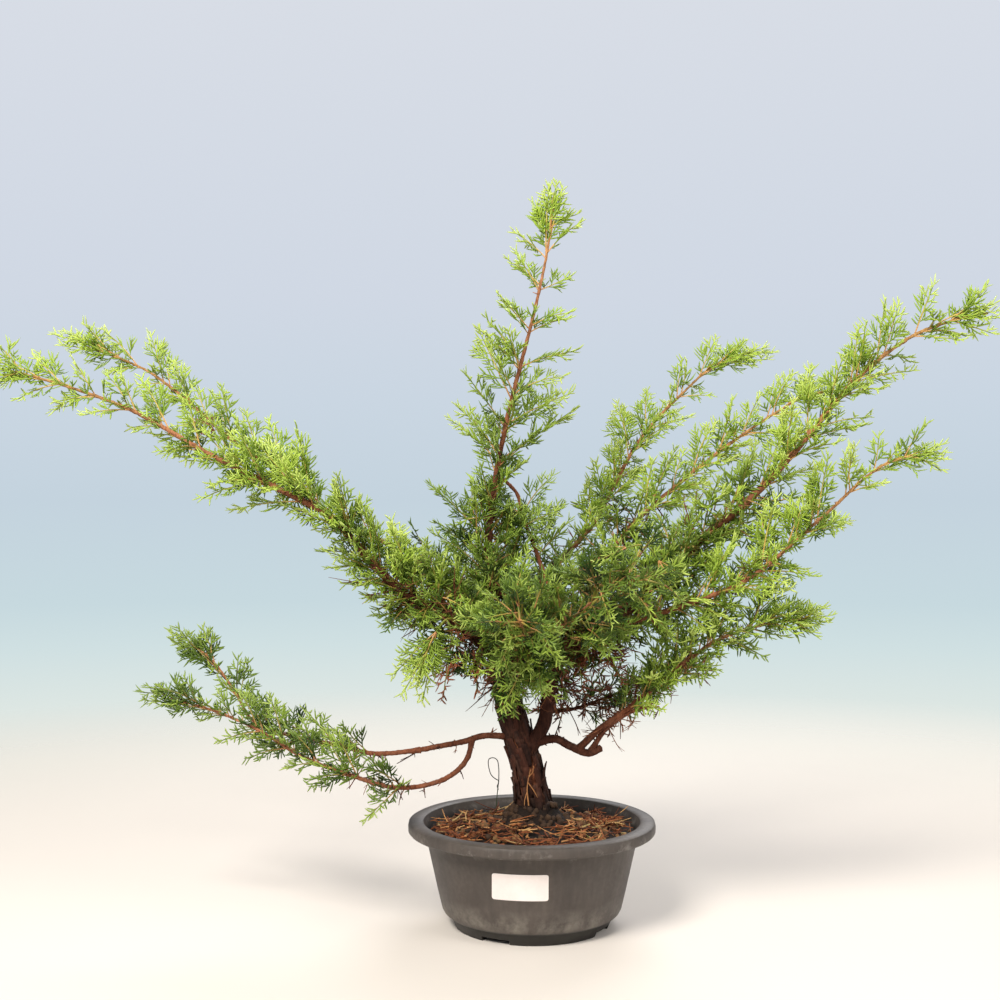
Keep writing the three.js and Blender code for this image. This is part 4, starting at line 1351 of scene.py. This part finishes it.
# %% The mesh of a group
def sprays_mesh(name, group):
    """All of a group's fingers and stems as one mesh with age and tone at its corners."""
    rows = np.array(group.rows)
    foot, heading, facing = rows[:, 0:3], unit(rows[:, 3:6]), rows[:, 6:9]
    length, thick, age, tone, curl, rise = (rows[:, i] for i in range(9, 15))
    long, wide = length[:, None, None], thick[:, None, None]
    facing = unit(facing - heading * np.sum(facing * heading, axis=1, keepdims=True))
    side = np.cross(heading, facing)
    x, y, z = (FINGER[None, :, i, None] for i in range(3))
    corners = (
        foot[:, None]
        + side[:, None] * x * wide
        + facing[:, None] * (y * 0.85 * wide + curl[:, None, None] * long * z**2)
        + heading[:, None] * z * long
        + UP * rise[:, None, None] * long * z**2
    )
    faces = FINGER_FACES[None] + (np.arange(len(rows)) * len(FINGER))[:, None, None]
    ages = np.clip(age[:, None] + 0.10 * FINGER[None, :, 2], 0, 1)
    tones = np.broadcast_to(np.clip(tone, 0, 1)[:, None], ages.shape)
    heap = Heap("age", "tone")
    heap.add(corners.reshape(-1, 3), faces.reshape(-1, 3), age=ages.ravel(), tone=tones.ravel())
    for stem, radii, age, tone in group.stems:
        points, triangles = tube(stem, radii, 5)
        stem_age = np.append(np.repeat(np.linspace(0.05, 0.30, len(stem)) ** 0.8, 5), 0.3)
        heap.add(points, triangles, age=stem_age, tone=float(np.clip(tone, 0, 1)))
    return heap.build(name), len(rows)


print("mesh builder ready")


# %% [markdown]
# Where the shoots stand makes the tree's outline. On this plant a limb carries its side shoots
# left and right in turn, leaning towards its tip and shorter the further out they stand, and it
# ends in a narrow plume of three. Each tip could be placed by hand, but a rule needs only how far
# the shoots of a stretch reach, and the outline then varies as a plant's does.

# %% Side shoots that make the outline
SHOOT_SPACING = 10.5  # millimetres of limb from one side shoot to the next, on average
TUFT_SPACING = 31.0  # and from one tuft of them to the next
LIMB_LEAN, LEADER_LEAN = (20, 46), (38, 66)  # degrees between a shoot and its limb
TUFT_LOOSENESS = 0.27  # 1 spreads a tuft evenly along the limb, 0 draws it to a point
SIDE_SHOOTS = {
    # group: [(limb, fork, from, to, reach at the start, reach at the end, lower side's share)]
    "left_low_inner": [("left_low_branch", 2, 0.22, 0.34, 42, 40, 1.0)],
    "left_low_middle": [("left_low_branch", 2, 0.34, 0.48, 42, 40, 1.0)],
    "left_low_main": [("left_low_branch", 1, 0.14, 0.60, 40, 44, 0.9)],
    "left_low_under": [("left_low_branch", 2, 0.46, 0.68, 38, 38, 0.9)],
    "left_low_outer": [("left_low_branch", 2, 0.66, 0.96, 38, 28, 0.9)],
    "left_low_tip": [("left_low_branch", 1, 0.66, 0.97, 36, 26, 0.9)],
    "left_high_tip": [("left_high_branch", 1, 0.55, 0.97, 40, 30, 0.9)],
    "left_high_outer": [("left_high_branch", 1, 0.22, 0.55, 54, 42, 0.9)],
    "left_high_rear_tip": [("left_high_branch", 2, 0.66, 0.97, 40, 30, 0.8)],
    "left_high_rear": [("left_high_branch", 2, 0.38, 0.66, 46, 40, 0.9)],
    "left_high_middle": [
        ("left_high_branch", 1, 0.0, 0.24, 58, 54, 1.0), ("left_high_branch", 2, 0.06, 0.36, 50, 46, 0.7),
    ],
    "left_high_under": [("left_high_branch", 0, 0.42, 0.90, 52, 56, 1.0)],
    "left_high_inner": [("left_high_branch", 0, 0.42, 0.92, 62, 52, 0.5)],
    "crown_left": [("left_high_branch", 0, 0.06, 0.40, 70, 60, 1.0)],
    "leader_top": [("leader", 1, 0.80, 0.97, 36, 26, 1.0)],
    "leader_upper": [("leader", 1, 0.54, 0.80, 44, 36, 1.0)],
    "leader_middle": [("leader", 1, 0.14, 0.54, 78, 50, 1.0)],
    "leader_lower": [
        ("leader", 0, 0.45, 0.95, 70, 74, 1.0), ("leader", 2, 0.15, 0.85, 44, 40, 1.0),
    ],
    "right_high_inner": [("right_high_branch", 0, 0.16, 0.40, 62, 56, 0.9)],
    "right_high_middle": [("right_high_branch", 0, 0.40, 0.74, 58, 50, 1.0)],
    "right_high_tip": [("right_high_branch", 0, 0.74, 0.97, 46, 32, 0.9)],
    "right_rear_inner": [("right_rear_branch", 0, 0.34, 0.72, 52, 44, 0.9)],
    "right_rear_tip": [("right_rear_branch", 0, 0.76, 0.97, 40, 30, 0.8)],
    "right_middle": [("right_middle_branch", 0, 0.42, 0.80, 50, 42, 0.9)],
    "right_middle_tip": [("right_middle_branch", 0, 0.80, 0.97, 40, 30, 0.8)],
    "right_outer": [("right_outer_branch", 0, 0.28, 0.70, 58, 44, 0.9)],
    "right_outer_tip": [("right_outer_branch", 0, 0.72, 0.97, 38, 28, 0.9)],
    "right_low": [("right_low_branch", 1, 0.26, 0.86, 58, 50, 0.7)],
    "right_inner": [("right_inner_branch", 0, 0.10, 0.85, 34, 28, 0.9)],
}
# How far each shoot of the plume at a limb's end swings aside, and how far back it starts.
LAST_FAN = ((0.0, 22), (0.13, 46), (-0.13, 38))
# Groups that end a limb, and how far the last shoot carries on past it.
LAST_SHOOTS = {
    "left_low_outer": ("left_low_branch", 2, 20), "left_low_tip": ("left_low_branch", 1, 18),
    "left_high_tip": ("left_high_branch", 1, 4), "left_high_rear_tip": ("left_high_branch", 2, 24),
    "leader_top": ("leader", 1, 14), "right_high_tip": ("right_high_branch", 0, 5),
    "right_rear_tip": ("right_rear_branch", 0, 26), "right_middle_tip": ("right_middle_branch", 0, 16),
    "right_outer_tip": ("right_outer_branch", 0, 5), "right_low": ("right_low_branch", 1, 16),
}
print("stretches with side shoots:", sum(len(rows) for rows in SIDE_SHOOTS.values()))

# %% [markdown]
# Between the side shoots the tree is filled in. Each stretch of limb says how many shoots it
# carries, how far they reach, and how they are spread: all round it, or mostly towards the viewer
# and away, where they thicken a branch without changing its outline.

# %% Shoots that fill the crown
FILL = {
    # group: [(limb, fork, from, to, how many, reach, roundness)]
    "left_low_inner": [("left_low_branch", 2, 0.24, 0.34, 6, 22, 0.2)],
    "left_low_middle": [("left_low_branch", 2, 0.38, 0.50, 8, 22, 0.2)],
    "left_low_main": [("left_low_branch", 1, 0.25, 0.60, 14, 28, 0.2)],
    "left_low_under": [("left_low_branch", 2, 0.52, 0.68, 10, 26, 0.2)],
    "left_low_outer": [("left_low_branch", 2, 0.70, 0.98, 9, 24, 0.2)],
    "left_low_tip": [("left_low_branch", 1, 0.66, 0.98, 6, 22, 0.2)],
    "left_high_tip": [("left_high_branch", 1, 0.50, 0.98, 6, 26, 0.2)],
    "left_high_outer": [("left_high_branch", 1, 0.18, 0.55, 9, 34, 0.25)],
    "left_high_rear_tip": [("left_high_branch", 2, 0.64, 0.98, 4, 22, 0.2)],
    "left_high_rear": [("left_high_branch", 2, 0.36, 0.64, 8, 28, 0.25)],
    "left_high_middle": [
        ("left_high_branch", 1, 0.0, 0.25, 16, 42, 0.5), ("left_high_branch", 2, 0.0, 0.36, 14, 42, 0.5),
    ],
    "left_high_under": [("left_high_branch", 0, 0.45, 0.85, 18, 40, 0.6)],
    "left_high_inner": [("left_high_branch", 0, 0.35, 0.95, 30, 44, 0.8)],
    "leader_top": [("leader", 1, 0.80, 0.99, 2, 16, 0.6)],
    "leader_upper": [("leader", 1, 0.48, 0.80, 3, 24, 0.6)],
    "leader_middle": [("leader", 1, 0.12, 0.50, 12, 44, 0.6)],
    "leader_lower": [("leader", 0, 0.35, 1.0, 56, 56, 1.0), ("leader", 1, 0.0, 0.16, 12, 48, 0.6)],
    "crown_left": [("left_high_branch", 0, 0.05, 0.5, 58, 52, 1.0)],
    "crown_front": [("front_branch", 0, 0.10, 1.0, 88, 54, 1.0)],
    "crown_front_right": [("front_branch", 1, 0.1, 1.0, 78, 54, 1.0)],
    "crown_rear": [("rear_branch", 0, 0.15, 1.0, 62, 54, 1.0)],
    "crown_rear_left": [("rear_branch", 2, 0.1, 1.0, 42, 48, 1.0)],
    "crown_rear_right": [("rear_branch", 1, 0.1, 1.0, 42, 48, 1.0)],
    "crown_right": [
        ("right_stem", 0, 0.55, 1.0, 58, 54, 1.0), ("right_high_branch", 0, 0.0, 0.2, 34, 50, 1.0),
        ("right_middle_branch", 0, 0.1, 0.42, 42, 46, 1.0),
    ],
    "right_high_inner": [("right_high_branch", 0, 0.08, 0.42, 54, 48, 0.8)],
    "right_high_middle": [("right_high_branch", 0, 0.42, 0.74, 22, 40, 0.35)],
    "right_high_tip": [("right_high_branch", 0, 0.74, 0.98, 5, 28, 0.2)],
    "right_rear_inner": [("right_rear_branch", 0, 0.22, 0.70, 22, 40, 0.6)],
    "right_rear_tip": [("right_rear_branch", 0, 0.70, 0.98, 5, 26, 0.2)],
    "right_middle": [("right_middle_branch", 0, 0.30, 0.74, 24, 40, 0.7)],
    "right_middle_tip": [("right_middle_branch", 0, 0.74, 0.98, 5, 24, 0.2)],
    "right_outer": [("right_outer_branch", 0, 0.12, 0.68, 44, 42, 0.7)],
    "right_outer_tip": [("right_outer_branch", 0, 0.68, 0.98, 5, 24, 0.2)],
    "right_low": [("right_low_branch", 1, 0.22, 0.98, 54, 38, 0.7)],
    "right_inner": [("right_inner_branch", 0, 0.25, 0.98, 29, 28, 0.6)],
}
LIGHT_AND_SHADE_TONES = {
    # how a group's leaves are painted, 0 in shade to 1 sunlit, light and yellow; the rest are 0.5
    "left_low": 0.36, "left_high": 0.95, "left_high_under": 0.66, "left_high_inner": 0.74,
    "leader": 0.92, "leader_lower": 0.42, "leader_middle": 0.74, "crown": 0.32,
    "crown_front": 0.34, "crown_left": 0.56, "right_rear": 1.0, "right_middle": 1.0,
    "right_high": 0.98, "right_high_inner": 0.62, "right_outer": 0.88, "right_low": 0.68,
    "right_inner": 0.34,
}


def tone_of(group):
    """The most particular entry that the group's name starts with."""
    fitting = [key for key in LIGHT_AND_SHADE_TONES if group.startswith(key)]
    return LIGHT_AND_SHADE_TONES[max(fitting, key=len)] if fitting else 0.5


print("fill shoots:", sum(row[4] for rows in FILL.values() for row in rows))

# %% [markdown]
# Growing starts with the side shoots. They stand on both sides of the limb in turn, gathered in
# loose tufts, and lean only a little towards the viewer or away, so they make the outline.

# %% Grow the side shoots
LINE_STEPS = 200  # equal steps into which each limb's route is cut
groups = {name: Sprays() for name in FILL}
for name, stretches in SIDE_SHOOTS.items():
    for limb_name, fork, low, high, first_reach, last_reach, lower_share in stretches:
        line = limb_line(limb_name, fork, LINE_STEPS + 1)
        tangents = unit(np.gradient(line, axis=0))
        stretch = line[round(low * LINE_STEPS):round(high * LINE_STEPS) + 1]
        length = np.linalg.norm(np.diff(stretch, axis=0), axis=1).sum()
        count = max(3, round(length / SHOOT_SPACING))
        tufts = max(1, round(length / TUFT_SPACING))
        for k in range(count):
            share = (k + rng.uniform(0.2, 0.8)) / count
            tuft = int(share * tufts)
            share = (tuft + 0.5 + (share * tufts - tuft - 0.5) * TUFT_LOOSENESS) / tufts
            row = round((low + (high - low) * share) * LINE_STEPS)
            along = tangents[row]
            across = unit(np.cross(along, AWAY))
            if across @ UP < 0:
                across = -across
            upper = k % 2 == 0
            lean = math.radians(rng.uniform(*(LEADER_LEAN if limb_name == "leader" else LIMB_LEAN)))
            heading = along * math.cos(lean) + across * (1 if upper else -1) * math.sin(lean)
            heading = unit(heading + AWAY * rng.normal(0, 0.28) + UP * rng.uniform(-0.05, 0.12))
            reach = first_reach + (last_reach - first_reach) * share
            reach *= rng.uniform(0.72, 1.12) * (1 if upper else lower_share)
            facing = unit(UP - 0.65 * AWAY + rng.normal(0, 0.35, 3))
            groups[name].shoot(line[row], line[row] + heading * reach, facing,
                               rng.uniform(0.30, 0.48), tone_of(name) + rng.normal(0, 0.10))
print("fingers so far:", sum(len(group.rows) for group in groups.values()))

# %% [markdown]
# At its end a limb draws out into a plume: one shoot that carries straight on and two that start
# further back and swing a little to either side.

# %% Grow the plumes
for name, (limb_name, fork, reach) in LAST_SHOOTS.items():
    line = limb_line(limb_name, fork, LINE_STEPS + 1)
    heading = unit(line[-1] - line[-12])
    across = unit(np.cross(heading, AWAY))
    to_end = np.linalg.norm(line - line[-1], axis=1)
    for spread_out, start in LAST_FAN:
        foot = line[int(np.argmin(np.abs(to_end - start)))]
        tip = line[-1] + heading * reach * (1 - 2 * abs(spread_out)) + across * start * spread_out
        groups[name].shoot(foot, tip, unit(UP - 0.8 * AWAY), 0.42, tone_of(name) + rng.normal(0, 0.08))
print("plumes:", len(LAST_SHOOTS))

# %% [markdown]
# Then the crown is filled. In its round parts a shoot doesn't spring from the limb itself but from
# a short twig, so that the mass of leaves has depth; in the flat parts it springs from the limb.

# %% Grow the fill
for name, stretches in FILL.items():
    for limb_name, fork, low, high, count, reach, roundness in stretches:
        line = limb_line(limb_name, fork, LINE_STEPS + 1)
        tangents = unit(np.gradient(line, axis=0))
        for k in range(count):
            t = low + (high - low) * (k + rng.uniform()) / count
            row = round(t * LINE_STEPS)
            along = tangents[row]
            across = unit(np.cross(along, AWAY))
            depth = unit(np.cross(across, along))
            angle = math.pi * k + rng.normal(0, 0.3) + roundness * rng.uniform(-1.4, 1.4)
            heading = depth * math.cos(angle) + across * math.sin(angle)
            heading = unit(heading + along * rng.uniform(0.35, 0.9) + UP * rng.uniform(0.0, 0.35))
            length = reach * rng.uniform(0.65, 1.1) * (1 - 0.3 * t)
            foot = line[row]
            if roundness > 0.7:
                twig = unit(heading + rng.normal(0, 0.6, 3)) * length * rng.uniform(0.1, 0.6)
                groups[name].stems.append(
                    (np.array([foot, foot + twig * 0.5, foot + twig]), [0.9, 0.75, 0.6], 0, 0.4)
                )
                foot = foot + twig
                heading = unit(heading + rng.normal(0, 0.55, 3))
                length *= 0.8
            facing = unit(UP * 0.6 - AWAY * 0.5 + rng.normal(0, 0.6, 3))
            groups[name].shoot(foot, foot + heading * length, facing,
                               rng.uniform(0.24, 0.44), tone_of(name) + rng.normal(0, 0.24))
print("fingers so far:", sum(len(group.rows) for group in groups.values()))

# %% [markdown]
# A few shoots stand out from the rule, and the eye finds them at once: a small clump that hangs
# before the trunk from the foot of the front branch, painted in full shade, and long pale shoots
# that arch out in front, painted mostly sunlit.
# These are set one by one.

# %% Hanging clump and arching shoots
HANGING_COUNT, HANGING_REACH = 4, 36
line = limb_line("front_branch", 0, LINE_STEPS + 1)
for k in range(HANGING_COUNT):
    foot = line[round((0.10 + 0.03 * k) * LINE_STEPS)]
    heading = unit(-UP + 0.16 * rng.normal(0, 1, 3) * (1, 0.4, 0))
    # Tone 0: the clump is painted in full shade.
    groups["crown_front"].shoot(foot, foot + heading * HANGING_REACH * rng.uniform(0.8, 1.1),
                                -AWAY, 0.3, 0.0)
ARCHING = [
    # (group, stem, tips of the shoots at its end)
    ("crown_front", [(-10, -70, 246), (-20, -90, 272), (-23, -97, 286), (-20, -103, 266)],
     [(-17, -106, 248), (-30, -104, 256), (-8, -104, 258)]),
    ("crown_front_right", [(66, -102, 292), (78, -100, 312), (88, -96, 324), (97, -98, 312)],
     [(109, -100, 283), (98, -100, 288), (117, -98, 298)]),
    ("crown_front_right", [(78, -98, 312), (84, -96, 324), (72, -96, 322)],
     [(50, -96, 312), (56, -94, 322)]),
    ("crown_left", [(-60, -8, 252), (-70, -45, 262), (-78, -72, 254)],
     [(-103, -86, 208), (-110, -80, 222), (-92, -84, 214), (-88, -80, 202)]),
]
for name, stem, tips in ARCHING:
    line = smooth_route([np.array(p, float) for p in stem], 12)
    groups[name].stems.append((line, np.linspace(0.9, 0.6, 12), 0.5, 0.6))
    for tip in tips:
        # Tone 0.72: painted mostly sunlit.
        groups[name].shoot(line[-1], np.array(tip, float), unit(-AWAY + rng.normal(0, 0.3, 3)),
                           0.46, 0.72)
print("hanging and arching shoots:", HANGING_COUNT + sum(len(tips) for _, _, tips in ARCHING))

# %% [markdown]
# Last come the dead shoots, rust-brown to the tips: a few that show, set one by one, and a tangle of
# them on the shaded underside of the crown, by rule.

# %% Dead shoots
DEAD = [
    # (group, limb, fork, place along it, tip)
    ("left_high_rear", "left_high_branch", 2, 0.56, (-287, 10, 414)),
    ("left_high_rear", "left_high_branch", 2, 0.54, (-274, 6, 418)),
    ("left_high_rear", "left_high_branch", 2, 0.52, (-282, -2, 424)),
    ("crown_left", "left_high_branch", 0, 0.12, (-46, -46, 202)),
    ("crown_left", "left_high_branch", 0, 0.25, (-74, -30, 196)),
    ("crown_right", "right_stem", 0, 0.75, (40, -50, 206)),
    ("crown_right", "right_stem", 0, 0.90, (72, -56, 212)),
    ("crown_right", "right_stem", 0, 0.80, (24, -48, 214)),
    ("right_inner", "right_inner_branch", 0, 0.45, (70, 0, 172)),
]
DEAD_AGE = -0.7  # so far below zero that every finger stays brown
for name, limb_name, fork, t, tip in DEAD:
    line = limb_line(limb_name, fork, LINE_STEPS + 1)
    foot = line[round(t * LINE_STEPS)]
    groups[name].shoot(foot, np.array(tip, float), unit(-AWAY + rng.normal(0, 0.5, 3)),
                       DEAD_AGE, rng.uniform(0.2, 0.8))
UNDERSIDE = [
    # (group, limb, fork, from, to, how many, reach)
    ("crown_left", "left_high_branch", 0, 0.02, 0.30, 9, 34),
    ("crown_right", "right_stem", 0, 0.35, 0.95, 12, 34),
    ("crown_front", "front_branch", 0, 0.05, 0.30, 8, 30),
    ("right_inner", "right_inner_branch", 0, 0.05, 0.50, 8, 26),
]
# These get a low tone, which paints them in shade.
for name, limb_name, fork, low, high, count, reach in UNDERSIDE:
    line = limb_line(limb_name, fork, LINE_STEPS + 1)
    for k in range(count):
        t = low + (high - low) * (k + rng.uniform()) / count
        foot = line[round(t * LINE_STEPS)]
        heading = unit(rng.normal(0, 1, 3) - 0.6 * UP - 0.8 * AWAY)
        groups[name].shoot(foot, foot + heading * reach * rng.uniform(0.7, 1.2),
                           unit(rng.normal(0, 1, 3)), DEAD_AGE, rng.uniform(0.0, 0.45))
print("groups grown:", len(groups))


# %% [markdown]
# Scale leaves are deep green where they are old, a fresh yellow-green at the tips, and sprays in
# the light are paler than those in the shade. The two values that each corner carries, age and
# tone, pick the colour: one ramp for shaded leaves and one for sunlit ones, mixed by the tone.
# The map for painting carries the same two values, so leaves that look alike share their paint.

# %% Leaf material
leaf, tree, shader = new_material("juniper scale leaves", 0.5, 0.35)
age = attribute(tree, "age")
shaded = ramp(tree, age, [
    (0.00, paint(88, 46, 28)), (0.12, paint(128, 78, 44)), (0.24, paint(92, 88, 34)),
    (0.38, paint(22, 42, 8)), (0.66, paint(50, 80, 16)), (1.00, paint(104, 132, 38)),
])
sunlit = ramp(tree, age, [
    (0.00, paint(160, 96, 62)), (0.12, paint(206, 154, 96)), (0.24, paint(196, 176, 84)),
    (0.38, paint(110, 142, 38)), (0.66, paint(166, 192, 70)), (1.00, paint(206, 220, 124)),
])
tree.links.new(mixed(tree, attribute(tree, "tone"), shaded, sunlit), shader.inputs["Base Color"])
print("leaf material:", leaf.name)

# %% [markdown]
# Each group becomes one mesh. Its map for painting is not an unfolding of the surface: a corner's
# place on the map is its age and tone, spread out by a hair so that no face has an empty map.

# %% Foliage meshes
MAP_SPREAD, MAP_EDGE = 0.004, 0.002
fingers = 0
for name, group in groups.items():
    piece, count = sprays_mesh("leaves " + name, group)
    fingers += count
    mesh = piece.data
    corner = np.empty(len(mesh.loops), dtype=np.int32)
    mesh.loops.foreach_get("vertex_index", corner)
    values = {}
    for key in ("age", "tone"):
        values[key] = np.empty(len(mesh.vertices), dtype=np.float32)
        mesh.attributes[key].data.foreach_get("value", values[key])
    turn = (np.arange(len(corner)) % 3) * 2 * math.pi / 3
    paint_map = np.stack([
        np.clip(values["age"][corner] + MAP_SPREAD * np.cos(turn), MAP_EDGE, 1 - MAP_EDGE),
        np.clip(values["tone"][corner] + MAP_SPREAD * np.sin(turn), MAP_EDGE, 1 - MAP_EDGE),
    ], axis=1)
    layer = mesh.uv_layers.new(name="OFBake")
    layer.data.foreach_set("uv", paint_map.astype(np.float32).ravel())
    mesh.materials.append(leaf)
    hand_over(piece, "foliage", "sprays_" + name)
print("fingers:", fingers)
